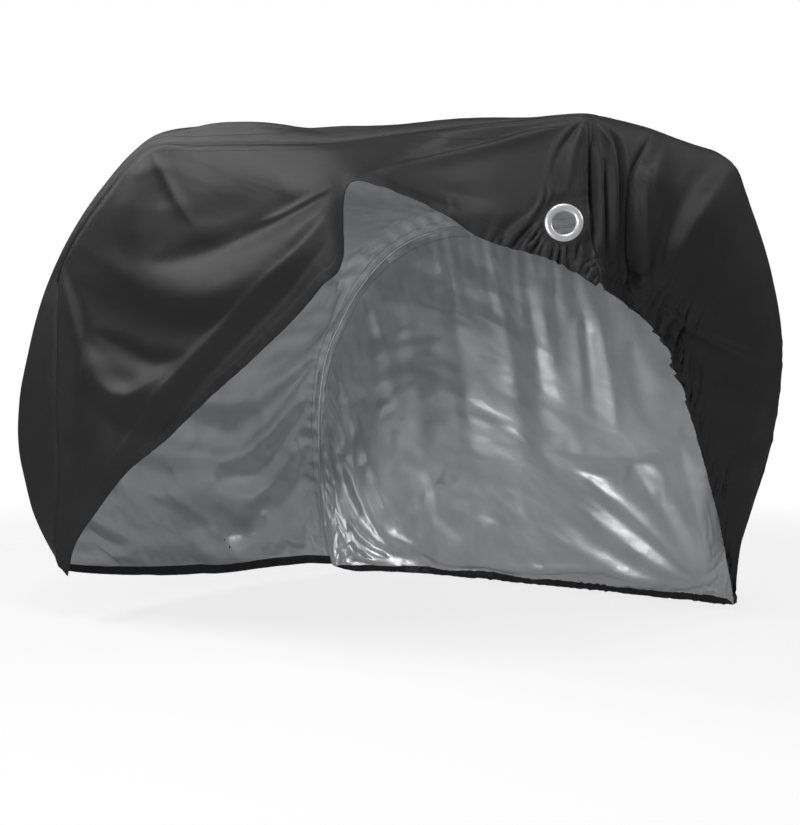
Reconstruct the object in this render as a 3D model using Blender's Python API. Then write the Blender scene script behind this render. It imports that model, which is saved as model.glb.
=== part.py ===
"""A fitted outdoor cover, draped as worn, with its near front corner pulled up.

Three cut pieces of thin coated cloth are sewn together: two side panels and the long strip between
them, which runs from the hem at the rear, up the rear end, over the top and down the front end.
A turned hem closes the lower edge all round. One metal eyelet sits near the front of the near side.
Metres, +Z up, the floor at z = 0.
"""

import math

import bpy
import numpy as np

for leftover in list(bpy.data.objects):
    bpy.data.objects.remove(leftover, do_unlink=True)

# Cloth
CLOTH_THICKNESS = 0.002
HEM_THICKNESS = 0.0036
HEM_WIDTH = 0.026
SEAM_GAP = 0.0005

# Grid of each panel: columns run along the cover, lines run across its pieces.
COLUMNS_TO_FRONT_EDGE = 40
COLUMNS_DOWN_FRONT = 26
SIDE_NEAR_LINES = 18
STRIP_LINES = 24
SIDE_FAR_LINES = 8
# Folds die out over this distance from a seam, which is stiff.
SEAM_EASE = 0.035

# The point on the floor that the tables below are measured from, and the middle of the cover from it.
MIDDLE_X = -0.963
MIDDLE_Y = 1.641

# Fold lines are drawn on an upright board that stands before this point, and fall on the cloth
# along straight lines from it, as a pattern is thrown on a screen.
EYE_HEIGHT = 0.456
EYE_TURN = math.radians(30.44)
BOARD_DISTANCE = 1.597

# Eyelet
EYELET_CENTRE = (-0.4272, 1.2560, 0.7960)
EYELET_NORMAL = (0.45, -0.892, 0.02)
EYELET_OUTER = 0.0315
EYELET_HOLE = 0.0195
EYELET_CUT = 0.0230
EYELET_BARREL_WALL = 0.0012
EYELET_FLANGE = 0.0026
EYELET_FLAT = 0.057
EYELET_BLEND = 0.074
EYELET_SIDES = 40
# The hole replaces a block of the cloth's grid, this many columns and lines each way from its middle.
EYELET_BLOCK_COLUMNS = 3
EYELET_BLOCK_LINES = 4
# The strip of the near panel that holds the eyelet starts at this station.
EYELET_STRIP_STATION = 14
# The top's front edge, between the two front corners, is at this station.
FRONT_EDGE_STATION = 16

# Near side panel: the seam along its top and ends, and the hem, station by station from the rear.
#   seam x, y, z            hem x, y, z
NEAR_SIDE = (
    ((-1.665, 1.225, 0.143), (-1.648, 1.245, 0.111)),
    ((-1.650, 1.210, 0.240), (-1.606, 1.233, 0.190)),
    ((-1.634, 1.205, 0.360), (-1.505, 1.220, 0.283)),
    ((-1.640, 1.200, 0.500), (-1.405, 1.213, 0.367)),
    ((-1.645, 1.205, 0.640), (-1.300, 1.208, 0.428)),
    ((-1.652, 1.212, 0.760), (-1.212, 1.200, 0.482)),
    ((-1.647, 1.220, 0.855), (-1.127, 1.190, 0.533)),
    ((-1.500, 1.215, 0.983), (-1.036, 1.175, 0.581)),
    ((-1.353, 1.213, 1.073), (-0.957, 1.160, 0.625)),
    ((-1.200, 1.217, 1.055), (-0.880, 1.141, 0.667)),
    ((-1.062, 1.220, 1.033), (-0.812, 1.115, 0.705)),
    ((-0.950, 1.220, 1.013), (-0.747, 1.082, 0.735)),
    ((-0.845, 1.220, 0.997), (-0.711, 1.040, 0.838)),
    ((-0.716, 1.220, 0.987), (-0.652, 1.058, 0.842)),
    ((-0.598, 1.220, 0.977), (-0.590, 1.145, 0.804)),
    ((-0.495, 1.235, 0.972), (-0.545, 1.185, 0.771)),
    ((-0.392, 1.270, 0.973), (-0.489, 1.222, 0.751)),
    ((-0.383, 1.275, 0.911), (-0.454, 1.242, 0.739)),
    ((-0.383, 1.285, 0.832), (-0.421, 1.262, 0.721)),
    ((-0.382, 1.292, 0.770), (-0.405, 1.274, 0.710)),
    ((-0.382, 1.297, 0.740), (-0.395, 1.275, 0.702)),
    ((-0.381, 1.300, 0.718), (-0.390, 1.284, 0.698)),
    ((-0.381, 1.303, 0.702), (-0.386, 1.292, 0.694)),
)

# Strip between the side panels: its near shoulder, middle and far shoulder, at the same stations.
STRIP_ACROSS = (0.0, 0.13, 0.5, 0.87, 1.0)
STRIP = (
    ((-1.684, 1.265, 0.118), (-1.605, 1.640, 0.060), (-1.515, 2.020, 0.040)),
    ((-1.706, 1.215, 0.215), (-1.665, 1.660, 0.180), (-1.545, 2.030, 0.150)),
    ((-1.747, 1.195, 0.340), (-1.712, 1.650, 0.320), (-1.572, 2.030, 0.290)),
    ((-1.768, 1.192, 0.480), (-1.728, 1.650, 0.460), (-1.585, 2.030, 0.430)),
    ((-1.748, 1.194, 0.600), (-1.712, 1.650, 0.600), (-1.575, 2.030, 0.570)),
    ((-1.712, 1.204, 0.745), (-1.668, 1.650, 0.730), (-1.540, 2.020, 0.700)),
    ((-1.662, 1.224, 0.875), (-1.590, 1.650, 0.845), (-1.470, 2.000, 0.810)),
    ((-1.530, 1.237, 1.013), (-1.455, 1.640, 0.955), (-1.355, 1.970, 0.930)),
    ((-1.375, 1.243, 1.106), (-1.285, 1.620, 1.030), (-1.210, 1.930, 1.020)),
    ((-1.222, 1.252, 1.109), (-1.145, 1.610, 1.035), (-1.065, 1.920, 1.060)),
    ((-1.070, 1.252, 1.082), (-1.005, 1.600, 1.015), (-0.930, 1.910, 1.055)),
    ((-0.952, 1.250, 1.047), (-0.885, 1.590, 0.990), (-0.800, 1.895, 1.030)),
    ((-0.845, 1.250, 1.032), (-0.770, 1.570, 0.975), (-0.670, 1.865, 1.010)),
    ((-0.720, 1.250, 1.013), (-0.645, 1.550, 0.968), (-0.540, 1.820, 1.000)),
    ((-0.605, 1.247, 0.999), (-0.525, 1.530, 0.968), (-0.420, 1.760, 0.998)),
    ((-0.492, 1.262, 0.984), (-0.425, 1.500, 0.975), (-0.330, 1.690, 0.998)),
    ((-0.376, 1.322, 0.981), (-0.322, 1.468, 0.996), (-0.252, 1.630, 0.996)),
    ((-0.352, 1.335, 0.913), (-0.285, 1.500, 0.905), (-0.225, 1.665, 0.905)),
    ((-0.350, 1.355, 0.830), (-0.280, 1.545, 0.800), (-0.200, 1.740, 0.770)),
    ((-0.362, 1.370, 0.765), (-0.290, 1.580, 0.722), (-0.198, 1.795, 0.640)),
    ((-0.378, 1.382, 0.738), (-0.318, 1.590, 0.688), (-0.228, 1.840, 0.510)),
    ((-0.390, 1.393, 0.717), (-0.338, 1.594, 0.660), (-0.272, 1.900, 0.390)),
    ((-0.397, 1.402, 0.702), (-0.350, 1.597, 0.636), (-0.311, 1.970, 0.290)),
)

# Far side panel: the seam and the hem on the floor, at the same stations.
#   seam x, y, z            hem x, y, z
FAR_SIDE = (
    ((-1.490, 2.100, 0.030), (-1.462, 2.130, 0.012)),
    ((-1.520, 2.105, 0.130), (-1.430, 2.160, 0.003)),
    ((-1.540, 2.110, 0.270), (-1.380, 2.190, 0.003)),
    ((-1.547, 2.110, 0.415), (-1.320, 2.212, 0.003)),
    ((-1.535, 2.100, 0.560), (-1.255, 2.227, 0.003)),
    ((-1.500, 2.085, 0.690), (-1.190, 2.237, 0.003)),
    ((-1.430, 2.060, 0.790), (-1.128, 2.243, 0.003)),
    ((-1.320, 2.030, 0.905), (-1.060, 2.245, 0.003)),
    ((-1.190, 2.000, 0.985), (-0.985, 2.246, 0.003)),
    ((-1.050, 1.985, 1.020), (-0.905, 2.247, 0.003)),
    ((-0.920, 1.978, 1.015), (-0.825, 2.247, 0.003)),
    ((-0.790, 1.968, 0.990), (-0.750, 2.247, 0.003)),
    ((-0.655, 1.945, 0.975), (-0.680, 2.246, 0.003)),
    ((-0.520, 1.905, 0.965), (-0.610, 2.245, 0.003)),
    ((-0.400, 1.845, 0.965), (-0.545, 2.244, 0.003)),
    ((-0.305, 1.765, 0.970), (-0.485, 2.243, 0.003)),
    ((-0.228, 1.672, 0.984), (-0.435, 2.243, 0.003)),
    ((-0.200, 1.737, 0.910), (-0.402, 2.242, 0.003)),
    ((-0.170, 1.830, 0.780), (-0.380, 2.241, 0.003)),
    ((-0.158, 1.902, 0.630), (-0.362, 2.240, 0.003)),
    ((-0.184, 1.952, 0.440), (-0.347, 2.240, 0.003)),
    ((-0.260, 2.050, 0.215), (-0.333, 2.239, 0.003)),
    ((-0.300, 2.195, 0.014), (-0.320, 2.237, 0.004)),
)

# Folds of the outside, drawn on the board: rise at the start and at the end of the fold and its
# half width, in metres, then its path as points across (to the right) and up. A rise below zero
# is a valley.
OUTER_FOLDS = (
    # rise at start, at end, width, path
    (0.011, 0.007, 0.022, ((-0.12, 0.927), (-0.17, 0.847), (-0.26, 0.747), (-0.40, 0.617),
                           (-0.48, 0.517), (-0.54, 0.437), (-0.60, 0.337))),
    (-0.009, -0.005, 0.018, ((-0.124, 0.847), (-0.16, 0.817), (-0.24, 0.727), (-0.34, 0.627),
                             (-0.46, 0.497), (-0.54, 0.377))),
    (-0.017, -0.008, 0.026, ((-0.12, 0.937), (-0.20, 0.901), (-0.28, 0.867), (-0.36, 0.831),
                             (-0.44, 0.793), (-0.52, 0.777))),
    (0.010, 0.014, 0.042, ((-0.18, 0.887), (-0.30, 0.797), (-0.40, 0.747), (-0.48, 0.737),
                           (-0.56, 0.767), (-0.64, 0.817))),
    (-0.014, -0.010, 0.044, ((-0.66, 0.737), (-0.56, 0.697), (-0.44, 0.677), (-0.34, 0.717))),
    (0.010, 0.012, 0.044, ((-0.62, 0.627), (-0.50, 0.537))),
    (0.008, 0.003, 0.014, ((-0.51, 1.017), (-0.47, 0.957), (-0.43, 0.887), (-0.41, 0.867))),
    (0.010, 0.006, 0.016, ((-0.09, 0.957), (0.00, 0.977), (0.08, 0.997), (0.20, 1.027),
                           (0.32, 1.063))),
    (-0.008, -0.005, 0.016, ((-0.06, 0.997), (0.04, 1.009), (0.16, 1.041), (0.30, 1.075))),
    (-0.008, -0.010, 0.024, ((0.02, 0.957), (0.10, 0.941), (0.28, 0.933))),
    (0.006, 0.012, 0.022, ((0.04, 0.917), (0.16, 0.897), (0.26, 0.887))),
    (-0.004, -0.010, 0.012, ((0.388, 1.067), (0.390, 0.937), (0.394, 0.767))),
    (0.010, 0.010, 0.016, ((0.424, 1.037), (0.440, 0.957), (0.444, 0.767))),
    (-0.006, -0.010, 0.014, ((0.480, 1.017), (0.462, 0.937), (0.460, 0.717))),
    (0.008, 0.008, 0.014, ((0.512, 1.037), (0.486, 0.967), (0.480, 0.737))),
    (-0.010, -0.009, 0.022, ((0.600, 1.007), (0.560, 0.937), (0.530, 0.857), (0.500, 0.757))),
    (0.008, 0.014, 0.028, ((0.656, 0.997), (0.610, 0.937), (0.560, 0.857), (0.520, 0.767))),
    (-0.008, -0.008, 0.030, ((0.680, 0.917), (0.640, 0.797), (0.580, 0.717))),
    (0.006, 0.010, 0.032, ((0.520, 0.722), (0.560, 0.690), (0.610, 0.656), (0.740, 0.600))),
    (-0.008, -0.012, 0.034, ((0.545, 0.652), (0.600, 0.600), (0.740, 0.520))),
    (0.008, 0.006, 0.026, ((0.660, 0.557), (0.650, 0.437), (0.640, 0.297))),
)

# Folds of the far side panel as the inside shows them, in the same columns. A rise is towards the
# inside of the cover.
INNER_FOLDS = (
    (0.010, 0.006, 0.030, ((0.30, 0.437), (0.44, 0.427), (0.58, 0.427))),
    (-0.010, -0.008, 0.030, ((0.28, 0.377), (0.44, 0.357), (0.60, 0.347))),
    (0.008, 0.014, 0.028, ((0.38, 0.397), (0.48, 0.307), (0.60, 0.157))),
    (-0.010, -0.010, 0.026, ((0.28, 0.337), (0.42, 0.247), (0.58, 0.147))),
    (0.012, 0.008, 0.036, ((0.06, 0.577), (0.10, 0.397), (0.12, 0.217))),
    (-0.012, -0.008, 0.040, ((-0.06, 0.597), (-0.04, 0.397), (0.00, 0.217))),
    (0.012, 0.008, 0.040, ((-0.20, 0.577), (-0.22, 0.397), (-0.24, 0.217))),
    (-0.010, -0.010, 0.040, ((-0.34, 0.517), (-0.40, 0.377), (-0.44, 0.217))),
    (0.010, 0.006, 0.030, ((-0.50, 0.417), (-0.54, 0.317), (-0.56, 0.217))),
)

# Folds of the strip away from the front, laid out on the strip when flat: metres along it from the
# rear hem and across it from the near seam.
FLAT_ALONG = 0.11
FLAT_ACROSS = 0.80
STRIP_FOLDS = (
    (0.006, 0.008, 0.040, ((0.16, 0.24), (0.20, 0.40), (0.16, 0.62))),
    (-0.010, -0.010, 0.045, ((0.30, 0.22), (0.36, 0.42), (0.30, 0.66))),
    (0.008, 0.012, 0.045, ((0.44, 0.22), (0.50, 0.42), (0.46, 0.68))),
    (-0.008, -0.012, 0.045, ((0.58, 0.22), (0.62, 0.44), (0.66, 0.66))),
    (0.008, 0.004, 0.040, ((0.90, 0.22), (0.82, 0.36), (0.72, 0.56))),
    (-0.012, -0.008, 0.050, ((1.04, 0.22), (1.12, 0.44), (1.08, 0.62))),
    (0.008, 0.010, 0.040, ((1.00, 0.16), (1.22, 0.36), (1.46, 0.48), (1.70, 0.56))),
    (0.010, 0.006, 0.035, ((0.98, 0.66), (1.22, 0.58), (1.46, 0.34), (1.72, 0.18))),
    (-0.008, -0.010, 0.040, ((1.30, 0.16), (1.40, 0.26), (1.62, 0.34))),
    (-0.008, -0.008, 0.040, ((1.32, 0.66), (1.46, 0.58), (1.64, 0.50))),
)


def material(name, colour, roughness, metallic):
    """A Principled material with this base colour, roughness and metallic."""
    made = bpy.data.materials.new(name)
    made.use_nodes = True
    shader = made.node_tree.nodes["Principled BSDF"]
    shader.inputs["Base Color"].default_value = (*colour, 1.0)
    shader.inputs["Roughness"].default_value = roughness
    shader.inputs["Metallic"].default_value = metallic
    return made


def through(rows, places):
    """Points at these places, counted in rows, on smooth curves through the rows."""
    before = 2 * rows[0] - rows[1]
    after = 2 * rows[-1] - rows[-2]
    held = np.concatenate([[before], rows, [after]])
    first = np.clip(np.floor(places).astype(int), 0, len(rows) - 2)
    part = (places - first).reshape(-1, *([1] * (rows.ndim - 1)))
    a, b, c, d = (held[first + k] for k in range(4))
    bend = (2 * a - 5 * b + 4 * c - d) * part**2 + (3 * b - a - 3 * c + d) * part**3
    return 0.5 * (2 * b + (c - a) * part + bend)


def across(columns, knots, places):
    """Points at these places between the knots, on curves that never swing past a knot."""
    knots = np.asarray(knots)
    steps = np.diff(knots)[:, None, None]
    slopes = np.diff(columns, axis=0) / steps
    product = slopes[1:] * slopes[:-1]
    total = slopes[1:] + slopes[:-1]
    safe = np.where(np.abs(total) < 1e-9, 1.0, total)
    inner = np.where(product > 0, 2 * product / safe, 0.0)
    leaning = np.concatenate([slopes[:1], inner, slopes[-1:]])
    first = np.clip(np.searchsorted(knots, places, side="right") - 1, 0, len(knots) - 2)
    step = (knots[first + 1] - knots[first])[:, None, None]
    part = ((places - knots[first])[:, None, None]) / step
    start = columns[first] * (1 + 2 * part) * (1 - part) ** 2
    end = columns[first + 1] * part**2 * (3 - 2 * part)
    lean_out = leaning[first] * step * part * (1 - part) ** 2
    lean_in = leaning[first + 1] * step * part**2 * (part - 1)
    return start + end + lean_out + lean_in


def unit(vectors):
    return vectors / np.maximum(np.linalg.norm(vectors, axis=-1, keepdims=True), 1e-12)


def normals_of(grid):
    """Unit normals of a grid of points, columns first, then lines."""
    along_columns = np.gradient(grid, axis=0)
    along_lines = np.gradient(grid, axis=1)
    return unit(np.cross(along_columns, along_lines))


def on_board(points):
    """Where points show on the board: across to the right, and up."""
    depth = -math.sin(EYE_TURN) * points[..., 0] + math.cos(EYE_TURN) * points[..., 1]
    right = math.cos(EYE_TURN) * points[..., 0] + math.sin(EYE_TURN) * points[..., 1]
    scale = BOARD_DISTANCE / depth
    return np.stack([right * scale, EYE_HEIGHT + (points[..., 2] - EYE_HEIGHT) * scale], axis=-1)


def rise_of(folds, spots):
    """Sum of the folds' heights at flat spots: each height falls off as a bell beside its path."""
    total = np.zeros(spots.shape[:-1])
    for start_rise, end_rise, width, path in folds:
        path = np.array(path)
        lengths = np.linalg.norm(np.diff(path, axis=0), axis=1)
        travelled = np.concatenate([[0.0], np.cumsum(lengths)])
        nearest = np.full(total.shape, 9.0)
        place = np.zeros(total.shape)
        for k, length in enumerate(lengths):
            side = path[k + 1] - path[k]
            share = np.clip(((spots - path[k]) @ side) / length**2, 0.0, 1.0)
            gap = np.linalg.norm(spots - path[k] - share[..., None] * side, axis=-1)
            closer = gap < nearest
            nearest = np.where(closer, gap, nearest)
            place = np.where(closer, (travelled[k] + share * length) / travelled[-1], place)
        height = start_rise + (end_rise - start_rise) * place
        total += height * np.exp(-((nearest / width) ** 2))
    return total


def smooth_step(value):
    value = np.clip(value, 0.0, 1.0)
    return value * value * (3 - 2 * value)


def side_grid(seam, hem, lines):
    """Columns of points from the seam to the hem. The last line but one is the hem's fold."""
    length = np.linalg.norm(hem - seam, axis=1)
    fold = 1 - np.minimum(0.3, HEM_WIDTH / length)
    shares = np.linspace(0.0, 1.0, lines) * fold[:, None]
    shares = np.concatenate([shares, np.ones((len(seam), 1))], axis=1)
    return seam[:, None] + shares[..., None] * (hem - seam)[:, None]


def ease_from_seam(grid, line):
    """0 on the seam, rising to 1 at the distance where folds are free."""
    away = np.linalg.norm(grid - grid[:, line][:, None], axis=-1)
    return smooth_step(away / SEAM_EASE)


def near_eyelet(grid):
    """Each point's height over the eyelet's plane, and how far the cloth there is to be flat, 0 to 1."""
    offset = grid - np.array(EYELET_CENTRE)
    height = offset @ unit(np.array(EYELET_NORMAL))
    radius = np.sqrt(np.maximum((offset**2).sum(-1) - height**2, 0.0))
    return height, 1 - smooth_step((radius - EYELET_FLAT) / (EYELET_BLEND - EYELET_FLAT))


def flatten_round_eyelet(grid):
    """The cloth lies flat under the eyelet, and eases back into its folds round it."""
    height, flatness = near_eyelet(grid)
    return grid - (flatness * height)[..., None] * unit(np.array(EYELET_NORMAL))


def rest_on_floor(grid):
    """Keeps the cloth's middle surface half its thickness above the floor."""
    lifted = grid.copy()
    lifted[..., 2] = np.maximum(lifted[..., 2], 0.52 * HEM_THICKNESS)
    return lifted


def block_round_eyelet(grid):
    """The loop of grid places round the eyelet, and the cells inside it."""
    distance = np.linalg.norm(grid - np.array(EYELET_CENTRE), axis=-1)
    column, line = np.unravel_index(np.argmin(distance), distance.shape)
    first_column, last_column = column - EYELET_BLOCK_COLUMNS, column + EYELET_BLOCK_COLUMNS
    first_line, last_line = line - EYELET_BLOCK_LINES, line + EYELET_BLOCK_LINES
    down = [(first_column, k) for k in range(first_line, last_line)]
    out = [(k, last_line) for k in range(first_column, last_column)]
    up = [(last_column, k) for k in range(last_line, first_line, -1)]
    back = [(k, first_line) for k in range(last_column, first_column, -1)]
    inside = np.zeros((grid.shape[0] - 1, grid.shape[1] - 1), bool)
    inside[first_column:last_column, first_line:last_line] = True
    return np.array(down + out + up + back), inside


def split_squares(a, b, c, d):
    """Two triangles for each square with these corners in turn."""
    return [np.stack([a, b, c], 1), np.stack([a, c, d], 1)]


def sheet_object(name, grid, offsets, look, holed=False):
    """A closed sheet from a grid of points and the offsets from its middle to its outer face."""
    columns, lines = grid.shape[:2]
    count = columns * lines
    middle = np.array([MIDDLE_X, MIDDLE_Y, 0.0])
    outer = (grid + offsets - middle).reshape(-1, 3)
    inner = (grid - offsets - middle).reshape(-1, 3)
    spot = np.arange(count).reshape(columns, lines)
    a, b = spot[:-1, :-1].ravel(), spot[1:, :-1].ravel()
    c, d = spot[1:, 1:].ravel(), spot[:-1, 1:].ravel()
    # Both faces of the cloth are split along the same diagonal, so that they never cross.
    halves = np.concatenate([np.stack([a, b, c], 1), np.stack([a, c, d], 1)])
    rim = np.concatenate([spot[:-1, 0], spot[-1, :-1], spot[:0:-1, -1], spot[0, :0:-1]])
    following = np.roll(rim, -1)
    points = [outer, inner]
    faces = [halves, halves[:, ::-1] + count]
    faces += split_squares(following, rim, rim + count, following + count)
    if holed:
        loop, inside = block_round_eyelet(grid)
        kept = np.tile(~inside.ravel(), 2)
        faces[0] = faces[0][kept]
        faces[1] = faces[1][kept]
        around = spot[loop[:, 0], loop[:, 1]]
        normal = unit(np.array(EYELET_NORMAL))
        centre = np.array(EYELET_CENTRE) - middle
        from_centre = (outer + inner)[around] / 2 - centre
        outwards = unit(from_centre - (from_centre @ normal)[:, None] * normal)
        circle = centre + EYELET_CUT * outwards
        points += [circle + normal * CLOTH_THICKNESS / 2, circle - normal * CLOTH_THICKNESS / 2]
        front = 2 * count + np.arange(len(loop))
        behind = front + len(loop)
        next_around, next_front, next_behind = (np.roll(k, -1) for k in (around, front, behind))
        faces += split_squares(next_around, around, front, next_front)
        faces += split_squares(around + count, next_around + count, next_behind, behind)
        faces += split_squares(next_front, front, behind, next_behind)
    mesh = bpy.data.meshes.new(name)
    mesh.from_pydata(np.concatenate(points).tolist(), [], np.concatenate(faces).tolist())
    mesh.materials.append(look)
    mesh.validate()
    made = bpy.data.objects.new(name, mesh)
    bpy.context.scene.collection.objects.link(made)
    return made


def inset(grid, side, widen=1.0):
    """Moves one edge of a grid inwards along the cloth, by half the seam's gap or more at a sharp one."""
    moved = grid.copy()
    half = np.reshape(SEAM_GAP / 2 * np.minimum(np.square(widen), 3.0), (-1, 1))
    if side == "first line":
        moved[:, 0] += half * unit(grid[:, 1] - grid[:, 0])
    elif side == "last line":
        moved[:, -1] += half * unit(grid[:, -2] - grid[:, -1])
    elif side == "first column":
        moved[0] += half * unit(grid[1] - grid[0])
    else:
        moved[-1] += half * unit(grid[-2] - grid[-1])
    return moved


def half_thickness(grid, seam_lines, hem_lines, hem_columns):
    """Half the cloth's thickness, and more where the hem is turned up, but not on a seam."""
    half = np.full(grid.shape[:2], CLOTH_THICKNESS / 2)
    for line in hem_lines:
        half[:, line] = HEM_THICKNESS / 2
    for column in hem_columns:
        half[column] = HEM_THICKNESS / 2
    for line in seam_lines:
        half[:, line] = CLOTH_THICKNESS / 2
    return half


# Smooth curves through the stations.
to_front_edge = np.linspace(0.0, FRONT_EDGE_STATION, COLUMNS_TO_FRONT_EDGE + 1)
down_front = np.linspace(FRONT_EDGE_STATION, len(NEAR_SIDE) - 1, COLUMNS_DOWN_FRONT + 1)
places = np.concatenate([to_front_edge, down_front[1:]])
split = int(np.argmin(np.abs(places - EYELET_STRIP_STATION)))
near_rows = np.array(NEAR_SIDE)
far_rows = np.array(FAR_SIDE)
strip_rows = np.concatenate([near_rows[:, :1], np.array(STRIP), far_rows[:, :1]], axis=1)
near_curves = through(near_rows, places)
far_curves = through(far_rows, places)
strip_curves = through(strip_rows, places)

# The three pieces before their folds.
near_grid = side_grid(near_curves[:, 0], near_curves[:, 1], SIDE_NEAR_LINES)
far_grid = side_grid(far_curves[:, 0], far_curves[:, 1], SIDE_FAR_LINES)
strip_places = np.interp(np.linspace(0, 1, STRIP_LINES + 1), (0, 0.25, 0.5, 0.75, 1), STRIP_ACROSS)
strip_grid = across(strip_curves.transpose(1, 0, 2), STRIP_ACROSS, strip_places).transpose(1, 0, 2)

# Folds push each piece out or in along its own normal. All three point outwards.
near_normals = -normals_of(near_grid)
far_normals = normals_of(far_grid)
strip_normals = normals_of(strip_grid)
seam_near = unit(near_normals[:, 0] + strip_normals[:, 0])
seam_far = unit(far_normals[:, 0] + strip_normals[:, -1])
near_normals[:, 0] = seam_near
strip_normals[:, 0] = seam_near
far_normals[:, 0] = seam_far
strip_normals[:, -1] = seam_far
near_rise = rise_of(OUTER_FOLDS, on_board(near_grid)) * ease_from_seam(near_grid, 0)
near_grid = near_grid + near_normals * near_rise[..., None]
seen = smooth_step((places - FRONT_EDGE_STATION + 0.2) / 1.6)[:, None]
flat_spots = np.stack(np.meshgrid(places * FLAT_ALONG, strip_places * FLAT_ACROSS, indexing="ij"), -1)
strip_rise = rise_of(OUTER_FOLDS, on_board(strip_grid)) * seen + rise_of(STRIP_FOLDS, flat_spots)
strip_rise *= ease_from_seam(strip_grid, 0) * ease_from_seam(strip_grid, -1)
strip_grid = strip_grid + strip_normals * strip_rise[..., None]
far_rise = rise_of(INNER_FOLDS, on_board(far_grid)) * ease_from_seam(far_grid, 0)
far_grid = far_grid - far_normals * far_rise[..., None]
near_grid = flatten_round_eyelet(near_grid)
strip_grid = flatten_round_eyelet(strip_grid)
far_grid = rest_on_floor(far_grid)

# Offsets from the middle of the cloth to its faces. Pieces share them along a seam, so that their
# edges meet on one plane there.
near_out = -normals_of(near_grid)
far_out = normals_of(far_grid)
strip_out = normals_of(strip_grid)
flatness = near_eyelet(near_grid)[1][..., None]
near_out = unit((1 - flatness) * near_out + flatness * unit(np.array(EYELET_NORMAL)))
mitres = []
for side, strip_line in ((near_out, 0), (far_out, -1)):
    shared = unit(side[:, 0] + strip_out[:, strip_line])
    widen = 1 / np.maximum(0.22, np.einsum("ij,ij->i", shared, side[:, 0]))
    side[:, 0] = shared * widen[:, None]
    strip_out[:, strip_line] = shared * widen[:, None]
    mitres.append(widen)
near_out *= half_thickness(near_grid, (0,), (-1,), (0, -1))[..., None]
far_out *= half_thickness(far_grid, (0,), (-1,), (0, -1))[..., None]
strip_out *= half_thickness(strip_grid, (0, -1), (), (0, -1))[..., None]

cloth = material("coated_cloth", (0.018, 0.018, 0.019), 0.42, 0.0)
metal = material("bright_metal", (0.78, 0.78, 0.80), 0.25, 1.0)

near_grid = inset(near_grid, "first line", mitres[0])
strip_grid = inset(inset(strip_grid, "first line", mitres[0]), "last line", mitres[1])
far_grid = inset(far_grid, "first line", mitres[1])
rear_part = inset(near_grid[: split + 1], "last column")
eyelet_part = inset(near_grid[split:], "first column")
sheet_object("side_panel_near", rear_part[:, ::-1], near_out[: split + 1, ::-1], cloth)
sheet_object("eyelet_strip", eyelet_part[:, ::-1], near_out[split:, ::-1], cloth, holed=True)
sheet_object("top_and_end_strip", strip_grid, strip_out, cloth)
sheet_object("side_panel_far", far_grid, far_out, cloth)


def turned(name, profile, look):
    """A closed ring turned from a profile of radius and height, on the eyelet's axis."""
    normal = unit(np.array(EYELET_NORMAL))
    level = unit(np.cross((0.0, 0.0, 1.0), normal))
    upright = np.cross(normal, level)
    centre = np.array(EYELET_CENTRE) - (MIDDLE_X, MIDDLE_Y, 0.0)
    angles = np.linspace(0, 2 * math.pi, EYELET_SIDES, endpoint=False)
    outwards = np.cos(angles)[:, None] * level + np.sin(angles)[:, None] * upright
    profile = np.array(profile)
    ring = centre + profile[None, :, :1] * outwards[:, None] + profile[None, :, 1:] * normal
    spot = np.arange(EYELET_SIDES * len(profile)).reshape(EYELET_SIDES, -1)
    after = np.roll(spot, -1, axis=0)
    faces = np.stack([spot, after, np.roll(after, -1, 1), np.roll(spot, -1, 1)], -1)
    mesh = bpy.data.meshes.new(name)
    mesh.from_pydata(ring.reshape(-1, 3).tolist(), [], faces.reshape(-1, 4).tolist())
    mesh.materials.append(look)
    made = bpy.data.objects.new(name, mesh)
    bpy.context.scene.collection.objects.link(made)
    return made


# The eyelet: a rolled flange in front, a barrel through the cloth and a flat washer behind it.
face = CLOTH_THICKNESS / 2 + SEAM_GAP
barrel = EYELET_HOLE + EYELET_BARREL_WALL
roll = np.linspace(0, math.pi, 7)
roll_centre = (EYELET_HOLE + EYELET_OUTER) / 2
roll_half = (EYELET_OUTER - EYELET_HOLE) / 2
front = [
    (roll_centre + roll_half * math.cos(turn), face + EYELET_FLANGE * math.sin(turn)) for turn in roll
]
behind = [
    (EYELET_HOLE, -face - 0.0010),
    (EYELET_HOLE + 0.0008, -face - 0.0016),
    (EYELET_OUTER - 0.0030, -face - 0.0012),
    (EYELET_OUTER - 0.0020, -face - 0.0006),
    (EYELET_OUTER - 0.0020, -face),
    (barrel, -face),
    (barrel, face),
]
turned("eyelet_ring", front + behind, metal)
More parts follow.
